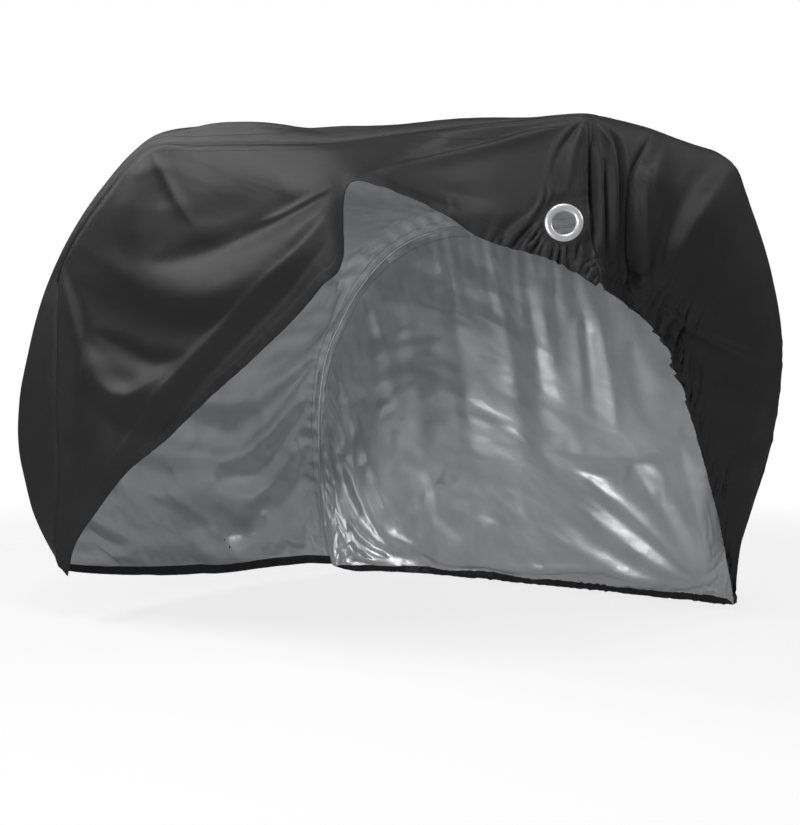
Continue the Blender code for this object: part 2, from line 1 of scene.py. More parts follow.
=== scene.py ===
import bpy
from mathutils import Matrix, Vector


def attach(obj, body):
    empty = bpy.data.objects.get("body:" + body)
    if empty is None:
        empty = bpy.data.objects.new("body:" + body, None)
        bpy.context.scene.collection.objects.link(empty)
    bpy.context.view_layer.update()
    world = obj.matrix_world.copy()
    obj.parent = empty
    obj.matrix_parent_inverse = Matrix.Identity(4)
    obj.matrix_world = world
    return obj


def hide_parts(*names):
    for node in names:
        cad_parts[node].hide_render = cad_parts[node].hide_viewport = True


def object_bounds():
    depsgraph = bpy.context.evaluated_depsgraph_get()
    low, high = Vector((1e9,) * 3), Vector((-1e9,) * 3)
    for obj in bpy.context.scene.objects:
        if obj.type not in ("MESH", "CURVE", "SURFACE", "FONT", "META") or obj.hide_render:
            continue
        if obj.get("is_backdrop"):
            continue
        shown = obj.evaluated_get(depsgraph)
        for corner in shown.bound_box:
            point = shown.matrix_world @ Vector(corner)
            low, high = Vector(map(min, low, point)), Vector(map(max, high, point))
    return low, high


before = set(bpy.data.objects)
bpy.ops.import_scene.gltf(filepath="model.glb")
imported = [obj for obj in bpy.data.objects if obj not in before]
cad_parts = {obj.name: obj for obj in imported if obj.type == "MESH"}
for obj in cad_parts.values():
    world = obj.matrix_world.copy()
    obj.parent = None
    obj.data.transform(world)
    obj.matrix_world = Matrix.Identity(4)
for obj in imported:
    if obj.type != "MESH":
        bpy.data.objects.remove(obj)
cadBox = [list(corner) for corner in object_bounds()]

import math

import bpy
import numpy as np

# The camera comes first: it stands in front of the cover's open corner, low and close.
view = {"place": (0.963, -1.641, 0.456), "tiltUp": 1.31, "turnLeft": 30.44, "lens": 34.84}
cameraData = bpy.data.cameras.new("camera")
cameraData.lens = view["lens"]
camera = bpy.data.objects.new("camera", cameraData)
camera.location = view["place"]
camera.rotation_euler = (math.radians(90 + view["tiltUp"]), 0, math.radians(view["turnLeft"]))
bpy.context.scene.collection.objects.link(camera)
bpy.context.scene.camera = camera


class Wire:
    # One node socket. Signs between wires and numbers add Math nodes, also with the number first.
    def __init__(self, tree, socket=None):
        self.tree, self.socket = tree, socket

    # Any node: its type, its settings, and the values or wires of its sockets.
    def node(self, kind, settings=None, feeds=None, out=0):
        made = self.tree.nodes.new(kind)
        for key, value in (settings or {}).items():
            setattr(made, key, value)
        for key, value in (feeds or {}).items():
            if isinstance(value, Wire):
                self.tree.links.new(value.socket, made.inputs[key])
            else:
                made.inputs[key].default_value = value
        return Wire(self.tree, made.outputs[out])

    def maths(self, operation, *values):
        return self.node("ShaderNodeMath", {"operation": operation}, dict(enumerate(values)))

    def __add__(self, other): return self.maths("ADD", self, other)
    def __radd__(self, other): return self.maths("ADD", other, self)
    def __sub__(self, other): return self.maths("SUBTRACT", self, other)
    def __rsub__(self, other): return self.maths("SUBTRACT", other, self)
    def __mul__(self, other): return self.maths("MULTIPLY", self, other)
    def __rmul__(self, other): return self.maths("MULTIPLY", other, self)
    def __truediv__(self, other): return self.maths("DIVIDE", self, other)
    def __rtruediv__(self, other): return self.maths("DIVIDE", other, self)
    def __abs__(self): return self.maths("ABSOLUTE", self)

    # 0 below low, 1 above high, smooth between.
    def rising(self, low, high):
        return self.node("ShaderNodeMapRange", {"interpolation_type": "SMOOTHSTEP"},
                         {"Value": self, "From Min": low, "From Max": high})


# A material, its Principled shader with these values, and an empty wire in its tree.
def newMaterial(name, shaderValues):
    made = bpy.data.materials.new(name)
    made.use_nodes = True
    shader = made.node_tree.nodes["Principled BSDF"]
    for key, value in shaderValues.items():
        shader.inputs[key].default_value = value
    return made, shader, Wire(made.node_tree)


def feed(material, shader, key, wire):
    material.node_tree.links.new(wire.socket, shader.inputs[key])


def mixColours(wire, share, first, second):
    return wire.node("ShaderNodeMix", {"data_type": "RGBA"}, {0: share, 6: first, 7: second}, 2)


def bumped(wire, height, distance, under=None):
    feeds = {"Height": height, "Distance": distance}
    if under is not None:
        feeds["Normal"] = under
    return wire.node("ShaderNodeBump", None, feeds)


def unit(vectors):
    return vectors / np.maximum(np.linalg.norm(vectors, axis=-1, keepdims=True), 1e-12)


def smoothStep(value):
    value = np.clip(value, 0.0, 1.0)
    return value * value * (3 - 2 * value)


# Catmull-Rom: a curve through every row, at places counted in rows.
def through(rows, places):
    held = np.concatenate([[2 * rows[0] - rows[1]], rows, [2 * rows[-1] - rows[-2]]])
    first = np.clip(np.floor(places).astype(int), 0, len(rows) - 2)
    part = (places - first).reshape(-1, *([1] * (rows.ndim - 1)))
    a, b, c, d = (held[first + k] for k in range(4))
    bend = (2 * a - 5 * b + 4 * c - d) * part**2 + (3 * b - a - 3 * c + d) * part**3
    return 0.5 * (2 * b + (c - a) * part + bend)


# Cubic pieces between knots whose slopes are harmonic means, so a curve never swings past a knot.
def across(columns, knots, places):
    knots = np.asarray(knots)
    steps = np.diff(knots)[:, None, None]
    slopes = np.diff(columns, axis=0) / steps
    product = slopes[1:] * slopes[:-1]
    total = slopes[1:] + slopes[:-1]
    inner = np.where(product > 0, 2 * product / np.where(np.abs(total) < 1e-9, 1.0, total), 0.0)
    leaning = np.concatenate([slopes[:1], inner, slopes[-1:]])
    first = np.clip(np.searchsorted(knots, places, side="right") - 1, 0, len(knots) - 2)
    step = (knots[first + 1] - knots[first])[:, None, None]
    part = ((places - knots[first])[:, None, None]) / step
    start = columns[first] * (1 + 2 * part) * (1 - part) ** 2
    end = columns[first + 1] * part**2 * (3 - 2 * part)
    leanOut = leaning[first] * step * part * (1 - part) ** 2
    leanIn = leaning[first + 1] * step * part**2 * (part - 1)
    return start + end + leanOut + leanIn


# Unit normals of a grid: the cross product of its steps along columns and along lines.
def normalsOf(grid):
    return unit(np.cross(np.gradient(grid, axis=0), np.gradient(grid, axis=1)))


# Each point's distance from the point of its own column that lies on this line.
def awayFrom(grid, line):
    return np.linalg.norm(grid - grid[:, line][:, None], axis=-1)


# Distance travelled along one axis of a grid, from its first point.
def travelled(grid, axis):
    steps = np.linalg.norm(np.diff(grid, axis=axis), axis=-1)
    start = np.zeros_like(np.take(steps, [0], axis=axis))
    return np.concatenate([start, np.cumsum(steps, axis=axis)], axis=axis)


# Smooth random heights from -1 to 1: random values on a lattice, eased between with smooth steps.
def softNoise(u, v, cell, seed):
    lattice = np.random.default_rng(seed).uniform(-1, 1, (97, 97))
    x, y = u / cell + 31.7, v / cell + 17.3
    i, j = np.floor(x).astype(int), np.floor(y).astype(int)
    s, t = smoothStep(x - i), smoothStep(y - j)
    corner = lambda a, b: lattice[(i + a) % 97, (j + b) % 97]
    low = corner(0, 0) * (1 - s) + corner(1, 0) * s
    high = corner(0, 1) * (1 - s) + corner(1, 1) * s
    return low * (1 - t) + high * t


# Crumpled heights from -1 to 1: random values on a lattice of triangles, straight between its
# corners, so that flat facets meet in creases. Slow noise bends the lattice first.
def facets(u, v, cell, turn, seed):
    lattice = np.random.default_rng(seed).uniform(-1, 1, (97, 97))
    x, y = (u * math.cos(turn) + v * math.sin(turn)) / cell, (v * math.cos(turn) - u * math.sin(turn)) / cell
    x, y = x + 0.45 * softNoise(x, y, 2.1, seed + 1) + 23.3, y + 0.45 * softNoise(y, x, 2.1, seed + 2) + 11.9
    x, y = x + 0.366 * (x + y), y + 0.366 * (x + y)
    i, j = np.floor(x).astype(int), np.floor(y).astype(int)
    a, b = x - i, y - j
    corner = lambda p, q: lattice[(i + p) % 97, (j + q) % 97]
    lower = corner(0, 0) + a * (corner(1, 0) - corner(0, 0)) + b * (corner(1, 1) - corner(1, 0))
    upper = corner(0, 0) + b * (corner(0, 1) - corner(0, 0)) + a * (corner(1, 1) - corner(0, 1))
    return np.where(a > b, lower, upper)


# Fold heights at flat spots. Each fold is a path with a rise at its start, middle and end, and a
# half width on each side. Across the path it falls off as a bell, or as a sharper crest by its
# crispness; towards both ends it fades and narrows to a point.
def foldHeights(folds, spots):
    total = np.zeros(spots.shape[:-1])
    for riseStart, riseMiddle, riseEnd, widthLeft, widthRight, crisp, path in folds:
        rows = np.array(path, float) / 1000
        rows = through(rows, np.linspace(0, len(rows) - 1, 8 * (len(rows) - 1) + 1))
        reach = 3.2 * max(widthLeft, widthRight) / 1000
        near = ((spots > rows.min(0) - reach) & (spots < rows.max(0) + reach)).all(-1)
        if not near.any():
            continue
        held = spots[near]
        starts, sides = rows[:-1], np.diff(rows, axis=0)
        lengths = np.linalg.norm(sides, axis=1)
        before = np.concatenate([[0.0], np.cumsum(lengths)])
        offset = held[:, None] - starts
        share = np.clip((offset * sides).sum(-1) / lengths**2, 0, 1)
        gap = offset - share[..., None] * sides
        distance = np.linalg.norm(gap, axis=-1)
        best = distance.argmin(1)
        pick = (np.arange(len(held)), best)
        turn = sides[best, 0] * gap[pick][:, 1] - sides[best, 1] * gap[pick][:, 0]
        place = (before[best] + share[pick] * lengths[best]) / before[-1]
        taper = 0.35 + 0.65 * smoothStep(place / 0.35 + 0.1) * smoothStep((1 - place) / 0.35 + 0.1)
        width = np.where(turn < 0, widthLeft, widthRight) / 1000 * taper
        relative = distance[pick] / width
        bell = np.exp(-relative**2)
        crest = (1 + 1.6 * relative**2) ** -1.5
        rise = np.interp(place, (0, 0.5, 1), (riseStart, riseMiddle, riseEnd)) / 1000
        fade = smoothStep(place / 0.25 + 0.1) * smoothStep((1 - place) / 0.35 + 0.04)
        total[near] += rise * fade * (bell + crisp * (crest - bell))
    return total


# A closed sheet from a grid, the offsets to its faces and the cells to keep. Its rims join the
# two faces along every open edge. Looks: 0 outside and rims, 1 inside.
def clothObject(name, grid, offsets, looks, kept=None):
    columns, lines = grid.shape[:2]
    count = columns * lines
    spot = np.arange(count).reshape(columns, lines)
    quads = np.stack([spot[:-1, :-1], spot[1:, :-1], spot[1:, 1:], spot[:-1, 1:]], -1).reshape(-1, 4)
    if kept is not None:
        quads = quads[kept.ravel()]
    edges = np.concatenate([quads[:, [k, (k + 1) % 4]] for k in range(4)])
    low, high = edges.min(1), edges.max(1)
    unused, first, uses = np.unique(low * count + high, return_index=True, return_counts=True)
    rim = edges[first[uses == 1]]
    walls = np.stack([rim[:, 1], rim[:, 0], rim[:, 0] + count, rim[:, 1] + count], 1)
    faces = np.concatenate([quads, quads[:, ::-1] + count, walls])
    points = np.concatenate([(grid + offsets).reshape(-1, 3), (grid - offsets).reshape(-1, 3)])
    slots = np.concatenate([np.zeros(len(quads)), np.ones(len(quads)), np.zeros(len(walls))])
    used = np.unique(faces)
    place = np.zeros(2 * count, int)
    place[used] = np.arange(len(used))
    mesh = bpy.data.meshes.new(name)
    mesh.from_pydata(points[used].tolist(), [], place[faces].tolist())
    for look in looks:
        mesh.materials.append(look)
    mesh.polygons.foreach_set("material_index", slots.astype(np.int32))
    mesh.polygons.foreach_set("use_smooth", np.ones(len(faces), bool))
    flat = np.stack([travelled(grid, 0), travelled(grid, 1)], -1).reshape(-1, 2)
    corners = place[faces].ravel()
    flatUsed = np.concatenate([flat, flat])[used]
    layer = mesh.uv_layers.new(name="flat")
    layer.data.foreach_set("uv", flatUsed[corners].astype(np.float32).ravel())
    mesh.set_sharp_from_angle(angle=math.radians(62))
    made = bpy.data.objects.new(name, mesh)
    bpy.context.scene.collection.objects.link(made)
    return made, used


# One value for each point, the same on both faces of the cloth.
def pointAttribute(piece, name, values, used):
    data = piece.data.attributes.new(name, "FLOAT", "POINT").data
    data.foreach_set("value", np.concatenate([values.ravel(), values.ravel()])[used].astype(np.float32))


# The cover's main lines, station by station from the rear, in metres from the camera's foot
foot = np.array([0.963, -1.641, 0.0])
nearSide = {  # seam x, y, z and hem x, y, z
    "rows": (
        ((-1.665, 1.225, 0.143), (-1.648, 1.245, 0.111)),
        ((-1.650, 1.210, 0.240), (-1.606, 1.233, 0.190)),
        ((-1.634, 1.205, 0.360), (-1.505, 1.220, 0.283)),
        ((-1.640, 1.200, 0.500), (-1.405, 1.213, 0.367)),
        ((-1.645, 1.205, 0.640), (-1.300, 1.208, 0.428)),
        ((-1.652, 1.212, 0.760), (-1.212, 1.200, 0.482)),
        ((-1.647, 1.220, 0.855), (-1.127, 1.190, 0.533)),
        ((-1.500, 1.215, 0.983), (-1.036, 1.175, 0.581)),
        ((-1.353, 1.213, 1.073), (-0.957, 1.160, 0.625)),
        ((-1.200, 1.217, 1.055), (-0.880, 1.141, 0.667)),
        ((-1.062, 1.220, 1.033), (-0.812, 1.115, 0.705)),
        ((-0.950, 1.220, 1.013), (-0.747, 1.082, 0.735)),
        ((-0.845, 1.220, 0.997), (-0.711, 1.040, 0.838)),
        ((-0.716, 1.220, 0.987), (-0.652, 1.058, 0.842)),
        ((-0.598, 1.220, 0.977), (-0.590, 1.145, 0.804)),
        ((-0.495, 1.235, 0.972), (-0.545, 1.185, 0.771)),
        ((-0.392, 1.270, 0.973), (-0.489, 1.222, 0.751)),
        ((-0.383, 1.275, 0.911), (-0.454, 1.242, 0.739)),
        ((-0.383, 1.285, 0.832), (-0.421, 1.262, 0.721)),
        ((-0.382, 1.292, 0.770), (-0.405, 1.274, 0.710)),
        ((-0.382, 1.297, 0.740), (-0.395, 1.275, 0.702)),
        ((-0.381, 1.300, 0.718), (-0.390, 1.284, 0.698)),
        ((-0.381, 1.303, 0.702), (-0.386, 1.292, 0.694)),
    ),
    "columns": (370, 104), "lines": 98,
}
topStrip = {  # near shoulder, middle and far shoulder between the two seams
    "knots": (0.0, 0.13, 0.5, 0.87, 1.0),
    "rows": (
        ((-1.684, 1.265, 0.118), (-1.605, 1.640, 0.060), (-1.515, 2.020, 0.040)),
        ((-1.706, 1.215, 0.215), (-1.665, 1.660, 0.180), (-1.545, 2.030, 0.150)),
        ((-1.747, 1.195, 0.340), (-1.712, 1.650, 0.320), (-1.572, 2.030, 0.290)),
        ((-1.768, 1.192, 0.480), (-1.728, 1.650, 0.460), (-1.585, 2.030, 0.430)),
        ((-1.748, 1.194, 0.600), (-1.712, 1.650, 0.600), (-1.575, 2.030, 0.570)),
        ((-1.712, 1.204, 0.745), (-1.668, 1.650, 0.730), (-1.540, 2.020, 0.700)),
        ((-1.662, 1.224, 0.875), (-1.590, 1.650, 0.845), (-1.470, 2.000, 0.810)),
        ((-1.530, 1.237, 1.013), (-1.455, 1.640, 0.955), (-1.355, 1.970, 0.930)),
        ((-1.375, 1.243, 1.106), (-1.285, 1.620, 1.030), (-1.210, 1.930, 1.020)),
        ((-1.222, 1.252, 1.109), (-1.145, 1.610, 1.035), (-1.065, 1.920, 1.060)),
        ((-1.070, 1.252, 1.082), (-1.005, 1.600, 1.015), (-0.930, 1.910, 1.055)),
        ((-0.952, 1.250, 1.047), (-0.885, 1.590, 0.990), (-0.800, 1.895, 1.030)),
        ((-0.845, 1.250, 1.032), (-0.770, 1.570, 0.975), (-0.670, 1.865, 1.010)),
        ((-0.720, 1.250, 1.013), (-0.645, 1.550, 0.968), (-0.540, 1.820, 1.000)),
        ((-0.605, 1.247, 0.999), (-0.525, 1.530, 0.968), (-0.420, 1.760, 0.998)),
        ((-0.492, 1.262, 0.984), (-0.425, 1.500, 0.975), (-0.330, 1.690, 0.998)),
        ((-0.376, 1.322, 0.981), (-0.322, 1.468, 0.996), (-0.252, 1.630, 0.996)),
        ((-0.352, 1.335, 0.913), (-0.285, 1.500, 0.905), (-0.225, 1.665, 0.905)),
        ((-0.350, 1.355, 0.830), (-0.280, 1.545, 0.800), (-0.200, 1.740, 0.770)),
        ((-0.362, 1.370, 0.765), (-0.290, 1.580, 0.722), (-0.198, 1.795, 0.640)),
        ((-0.378, 1.382, 0.738), (-0.318, 1.590, 0.688), (-0.228, 1.840, 0.510)),
        ((-0.390, 1.393, 0.717), (-0.338, 1.594, 0.660), (-0.272, 1.900, 0.390)),
        ((-0.397, 1.402, 0.702), (-0.350, 1.597, 0.636), (-0.311, 1.970, 0.290)),
    ),
    "columns": (186, 84), "lines": 180,
}
farSide = {  # seam x, y, z and hem x, y, z
    "rows": (
        ((-1.490, 2.100, 0.030), (-1.462, 2.130, 0.012)),
        ((-1.520, 2.105, 0.130), (-1.430, 2.160, 0.003)),
        ((-1.540, 2.110, 0.270), (-1.380, 2.190, 0.003)),
        ((-1.547, 2.110, 0.415), (-1.320, 2.212, 0.003)),
        ((-1.535, 2.100, 0.560), (-1.255, 2.227, 0.003)),
        ((-1.500, 2.085, 0.690), (-1.190, 2.237, 0.003)),
        ((-1.430, 2.060, 0.790), (-1.128, 2.243, 0.003)),
        ((-1.320, 2.030, 0.905), (-1.060, 2.245, 0.003)),
        ((-1.190, 2.000, 0.985), (-0.985, 2.246, 0.003)),
        ((-1.050, 1.985, 1.020), (-0.905, 2.247, 0.003)),
        ((-0.920, 1.978, 1.015), (-0.825, 2.247, 0.003)),
        ((-0.790, 1.968, 0.990), (-0.750, 2.247, 0.003)),
        ((-0.655, 1.945, 0.975), (-0.680, 2.246, 0.003)),
        ((-0.520, 1.905, 0.965), (-0.610, 2.245, 0.003)),
        ((-0.400, 1.845, 0.965), (-0.545, 2.244, 0.003)),
        ((-0.305, 1.765, 0.970), (-0.485, 2.243, 0.003)),
        ((-0.228, 1.672, 0.984), (-0.435, 2.243, 0.003)),
        ((-0.200, 1.737, 0.910), (-0.402, 2.242, 0.003)),
        ((-0.170, 1.830, 0.780), (-0.380, 2.241, 0.003)),
        ((-0.158, 1.902, 0.630), (-0.362, 2.240, 0.003)),
        ((-0.184, 1.952, 0.440), (-0.347, 2.240, 0.003)),
        ((-0.260, 2.050, 0.215), (-0.333, 2.239, 0.003)),
        ((-0.300, 2.195, 0.014), (-0.320, 2.237, 0.004)),
    ),
    "columns": (200, 84), "lines": 156,
}
cloth = {"thickness": 0.0013, "hemThickness": 0.0034, "hemWidth": 0.026, "seamGap": 0.0005,
         "frontEdge": 16, "seamEase": 0.020}

# Folds of the outside, drawn on an upright board that the camera looks through, 1.6 m wide, in
# millimetres from its upper left corner. Rise at start, middle and end; half width on the left and on
# the right of the path as it is walked; crispness; path. A rise below zero is a valley.
board = {"distance": 1.597, "left": 0.800, "top": 1.3174, "eye": 0.456}
outerFolds = (
    # the rolled edge along the long slanting hem, and the hollow below it
    (7, 13, 9, 34, 14, 0.6, ((684, 378), (640, 456), (600, 510), (540, 568), (480, 624), (400, 700),
                             (326, 790), (260, 880), (200, 976), (160, 1060), (142, 1120))),
    (-4, -9, -5, 15, 24, 0.2, ((664, 476), (640, 500), (570, 580), (480, 672), (400, 758),
                               (330, 842), (270, 930), (216, 1004))),
    # the swag between the pulled up corner and the rear
    (10, 21, 8, 32, 56, 0.1, ((684, 372), (613, 451), (551, 530), (464, 584), (390, 598), (328, 582),
                              (266, 554), (204, 516), (140, 478))),
    (-7, -16, -9, 34, 26, 0.1, ((676, 372), (600, 408), (500, 456), (400, 498), (320, 522), (280, 500))),
    (5, 5, 2, 8, 8, 0.4, ((676, 368), (600, 402), (540, 428), (470, 452))),
    (-3, -8, -5, 30, 40, 0.0, ((600, 388), (500, 410), (420, 430), (360, 440))),
    (-5, -12, -8, 44, 50, 0.0, ((140, 560), (220, 620), (300, 655), (400, 650), (480, 610))),
    (10, 24, 10, 24, 34, 0.1, ((166, 676), (206, 764), (258, 794), (306, 772), (360, 712))),
    (-6, -15, -6, 22, 26, 0.0, ((180, 660), (240, 700), (306, 724), (380, 706))),
    (-3, -9, -5, 30, 34, 0.0, ((210, 830), (260, 860), (310, 850), (360, 800))),
    # ridges from the rear upper corner
    (6, 7, 5, 14, 16, 0.5, ((298, 292), (324, 344), (352, 394), (392, 462))),
    (7, 14, 7, 30, 44, 0.0, ((292, 300), (276, 380), (268, 450), (280, 530))),
    (-2, -5, -1, 26, 26, 0.0, ((306, 330), (318, 380), (328, 430))),
    # the rear tension point and the soft upright creases below it
    (6, 5, 2, 10, 16, 0.3, ((122, 526), (130, 570), (144, 630), (164, 710), (196, 800))),
    (-5, -7, -4, 16, 22, 0.0, ((140, 560), (160, 640), (150, 760), (140, 900), (146, 1020))),
    (4, 8, 5, 24, 24, 0.0, ((196, 800), (200, 900), (190, 1000))),
    # lines between the pulled up corner and the front peak
    (9, 11, 6, 12, 16, 0.5, ((694, 362), (730, 348), (800, 332), (880, 314), (1000, 284),
                            (1120, 250), (1172, 226))),
    (-6, -8, -4, 12, 12, 0.3, ((700, 350), (800, 316), (880, 298), (1000, 268), (1110, 238))),
    (-3, -4, -2, 14, 14, 0.0, ((860, 290), (980, 262), (1090, 236))),
    (-4, -5, -2, 22, 26, 0.2, ((700, 366), (780, 366), (860, 374), (940, 388), (1030, 392))),
    (3, 4, 2, 24, 30, 0.0, ((820, 408), (920, 424), (1010, 430), (1080, 420))),
    (4, 4, 2, 8, 9, 0.4, ((1172, 228), (1130, 270), (1104, 320), (1090, 370))),
    (-3, -3, -1, 8, 8, 0.2, ((1168, 240), (1124, 290), (1096, 344))),
    (5, 3, 2, 14, 14, 0.2, ((1174, 232), (1150, 300), (1140, 370))),
    # the upright folds below the front peak
    (-9, -18, -12, 7, 9, 0.1, ((1180, 236), (1189, 300), (1192, 400), (1196, 470), (1202, 556))),
    (3, 7, 5, 6, 5, 0.3, ((1194, 250), (1203, 310), (1204, 400), (1207, 480), (1212, 540))),
    (-3, -12, -8, 5, 5, 0.1, ((1211, 306), (1214, 360), (1216, 460), (1220, 550))),
    (7, 12, 8, 7, 8, 0.3, ((1186, 232), (1212, 262), (1226, 300), (1229, 400), (1231, 540))),
    (-8, -14, -9, 8, 8, 0.1, ((1190, 228), (1220, 256), (1242, 296), (1245, 400), (1246, 580))),
    (-12, -14, -12, 8, 10, 0.1, ((1330, 226), (1298, 290), (1276, 342), (1268, 400), (1267, 480),
                                 (1267, 640))),
    (18, 18, 16, 46, 10, 0.2, ((1350, 226), (1318, 290), (1294, 344), (1285, 400), (1284, 480), (1284, 650))),
    # the front end's narrow diagonal ridge and the folds that lead to the gathered hem
    (16, 20, 14, 60, 15, 0.2, ((1510, 276), (1442, 350), (1400, 404), (1364, 462), (1338, 520), (1322, 620))),
    (-3, -8, -7, 9, 9, 0.2, ((1300, 460), (1302, 510), (1304, 580))),
    (6, 11, 5, 12, 14, 0.4, ((1304, 592), (1346, 626), (1400, 664), (1480, 702), (1560, 728))),
    (-6, -12, -8, 26, 40, 0.0, ((1330, 650), (1400, 712), (1480, 752), (1548, 780))),
    (3, 6, 4, 20, 24, 0.0, ((1400, 780), (1470, 800), (1540, 830))),
    (-3, -6, -4, 24, 24, 0.0, ((1420, 830), (1480, 880), (1530, 920))),
    (4, 7, 4, 22, 22, 0.0, ((1550, 560), (1530, 660), (1500, 900), (1480, 1040))),
)

# Folds of the far panel as the inside shows them, on the same board. A rise is towards the inside.
innerFolds = (
    # the shelf and the rounded bulge below it
    (8, 14, 8, 40, 9, 0.3, ((1100, 884), (1150, 892), (1200, 900), (1286, 900), (1350, 880))),
    (-5, -9, -6, 12, 12, 0.2, ((1150, 922), (1220, 940), (1290, 930))),
    (10, 16, 8, 24, 26, 0.1, ((1250, 926), (1284, 936), (1304, 966), (1306, 1010))),
    (-6, -10, -6, 10, 10, 0.3, ((1290, 905), (1324, 930), (1330, 970), (1322, 1010))),
    # creases that fan out from the lower front corner
    (9, 15, 8, 15, 12, 0.3, ((1160, 932), (1240, 986), (1314, 1056), (1404, 1154))),
    (-6, -11, -7, 12, 12, 0.2, ((1166, 964), (1246, 1026), (1326, 1094), (1402, 1160))),
    (7, 12, 8, 12, 13, 0.3, ((1150, 988), (1236, 1054), (1316, 1112), (1400, 1164))),
    (-4, -8, -5, 16, 16, 0.1, ((1110, 1010), (1210, 1080), (1306, 1134), (1396, 1168))),
    (5, 9, 6, 14, 16, 0.3, ((1070, 1030), (1190, 1100), (1300, 1146), (1394, 1170))),
    (8, 13, 8, 14, 22, 0.3, ((1296, 940), (1340, 1020), (1376, 1090), (1408, 1156))),
    (-4, -8, -5, 12, 14, 0.2, ((1336, 950), (1364, 1030), (1390, 1100), (1410, 1156))),
    (5, 9, 5, 12, 12, 0.3, ((1360, 860), (1384, 980), (1404, 1080), (1416, 1156))),
    # long low lines above the hem
    (4, 8, 6, 10, 9, 0.5, ((860, 1112), (1040, 1120), (1200, 1124), (1390, 1162))),
    (-3, -7, -5, 9, 9, 0.3, ((860, 1130), (1040, 1138), (1200, 1144), (1390, 1172))),
    (3, 7, 5, 8, 8, 0.5, ((880, 1146), (1040, 1154), (1200, 1162), (1390, 1180))),
    # soft upright folds below the front peak
    (-7, -12, -4, 14, 20, 0.2, ((1204, 620), (1222, 730), (1250, 880))),
    (5, 8, 3, 14, 16, 0.2, ((1178, 610), (1194, 730), (1206, 860))),
    (-4, -6, -3, 12, 14, 0.2, ((1160, 610), (1170, 700), (1176, 800))),
    (5, 8, 3, 24, 22, 0.1, ((1270, 660), (1290, 760), (1320, 870))),
    (5, 10, 6, 26, 30, 0.1, ((1060, 560), (1090, 700), (1100, 860), (1120, 1020))),
    (-5, -10, -6, 26, 26, 0.1, ((1000, 540), (1020, 700), (1040, 900), (1060, 1060))),
    (6, 12, 8, 30, 26, 0.2, ((920, 560), (930, 720), (960, 900), (980, 1080))),
    (-6, -12, -6, 30, 30, 0.1, ((820, 520), (840, 700), (860, 900), (900, 1080))),
    (6, 12, 8, 26, 30, 0.2, ((720, 540), (740, 700), (760, 900), (800, 1080))),
    (-5, -10, -6, 30, 30, 0.1, ((620, 560), (640, 720), (660, 900), (700, 1080))),
    (6, 12, 6, 22, 30, 0.3, ((540, 640), (540, 780), (580, 940), (640, 1080))),
    (-6, -10, -6, 26, 26, 0.1, ((460, 700), (450, 840), (480, 980), (540, 1080))),
    (6, 10, 6, 18, 22, 0.4, ((400, 780), (430, 860), (420, 960), (460, 1080))),
    (5, 9, 5, 14, 18, 0.4, ((380, 900), (440, 940), (520, 960), (600, 1000))),
    (-4, -8, -4, 16, 16, 0.3, ((400, 960), (460, 1000), (540, 1030))),
)

# Folds of the strip away from the front, laid out flat: millimetres along it from the rear hem
# and across it from the near seam.
stripFolds = (
    (6, 8, 6, 40, 40, 0.0, ((160, 240), (200, 400), (160, 620))),
    (-8, -10, -8, 45, 45, 0.0, ((300, 220), (360, 420), (300, 660))),
    (8, 12, 8, 45, 40, 0.1, ((440, 220), (500, 420), (460, 680))),
    (-6, -12, -8, 45, 45, 0.0, ((580, 220), (620, 440), (660, 660))),
    (8, 8, 4, 36, 36, 0.2, ((900, 220), (820, 360), (720, 560))),
    (-10, -12, -6, 50, 50, 0.0, ((1040, 220), (1120, 440), (1080, 620))),
    (6, 12, 8, 34, 40, 0.2, ((1000, 160), (1220, 360), (1460, 480), (1700, 560))),
    (10, 10, 4, 30, 35, 0.2, ((980, 660), (1220, 580), (1460, 340), (1720, 180))),
    (-6, -10, -8, 40, 40, 0.0, ((1300, 160), (1400, 260), (1620, 340))),
    (-6, -10, -6, 40, 40, 0.0, ((1320, 660), (1460, 580), (1640, 500))),
    (4, 6, 3, 16, 18, 0.4, ((930, 60), (1060, 90), (1240, 100), (1420, 70))),
)


# Where points show on the board, in metres across and down from its upper left corner.
def onBoard(points):
    turn = math.radians(view["turnLeft"])
    depth = math.cos(turn) * points[..., 1] - math.sin(turn) * points[..., 0]
    right = math.cos(turn) * points[..., 0] + math.sin(turn) * points[..., 1]
    scale = board["distance"] / depth
    up = board["eye"] + (points[..., 2] - board["eye"]) * scale
    return np.stack([board["left"] + right * scale, board["top"] - up], -1)


# The three panels before their folds.
print("panels: main forms")
frontEdge, lastStation = cloth["frontEdge"], len(nearSide["rows"]) - 1
nearRows, farRows = np.array(nearSide["rows"]), np.array(farSide["rows"])
stripRows = np.concatenate([nearRows[:, :1], np.array(topStrip["rows"]), farRows[:, :1]], axis=1)


# Places of a panel's columns, counted in stations: some up to the front edge, some beyond it.
def placesOf(panel):
    back, front = panel["columns"]
    return np.concatenate([np.linspace(0, frontEdge, back + 1),
                           np.linspace(frontEdge, lastStation, front + 1)[1:]])


# Straight lines from the seam to the hem. The last lines lie in the hem's casing.
def sideGrid(seam, hem, lines):
    length = np.linalg.norm(hem - seam, axis=1)
    fold = 1 - np.minimum(0.3, cloth["hemWidth"] / length)
    above = np.linspace(0, 1, lines - 6) * fold[:, None]
    below = fold[:, None] + np.linspace(0, 1, 7)[1:] * (1 - fold)[:, None]
    shares = np.concatenate([above, below], axis=1)
    return seam[:, None] + shares[..., None] * (hem - seam)[:, None]


def nearForm(places):
    curves = through(nearRows, places)
    return sideGrid(curves[:, 0], curves[:, 1], nearSide["lines"])


def farForm(places):
    curves = through(farRows, places)
    return sideGrid(curves[:, 0], curves[:, 1], farSide["lines"])


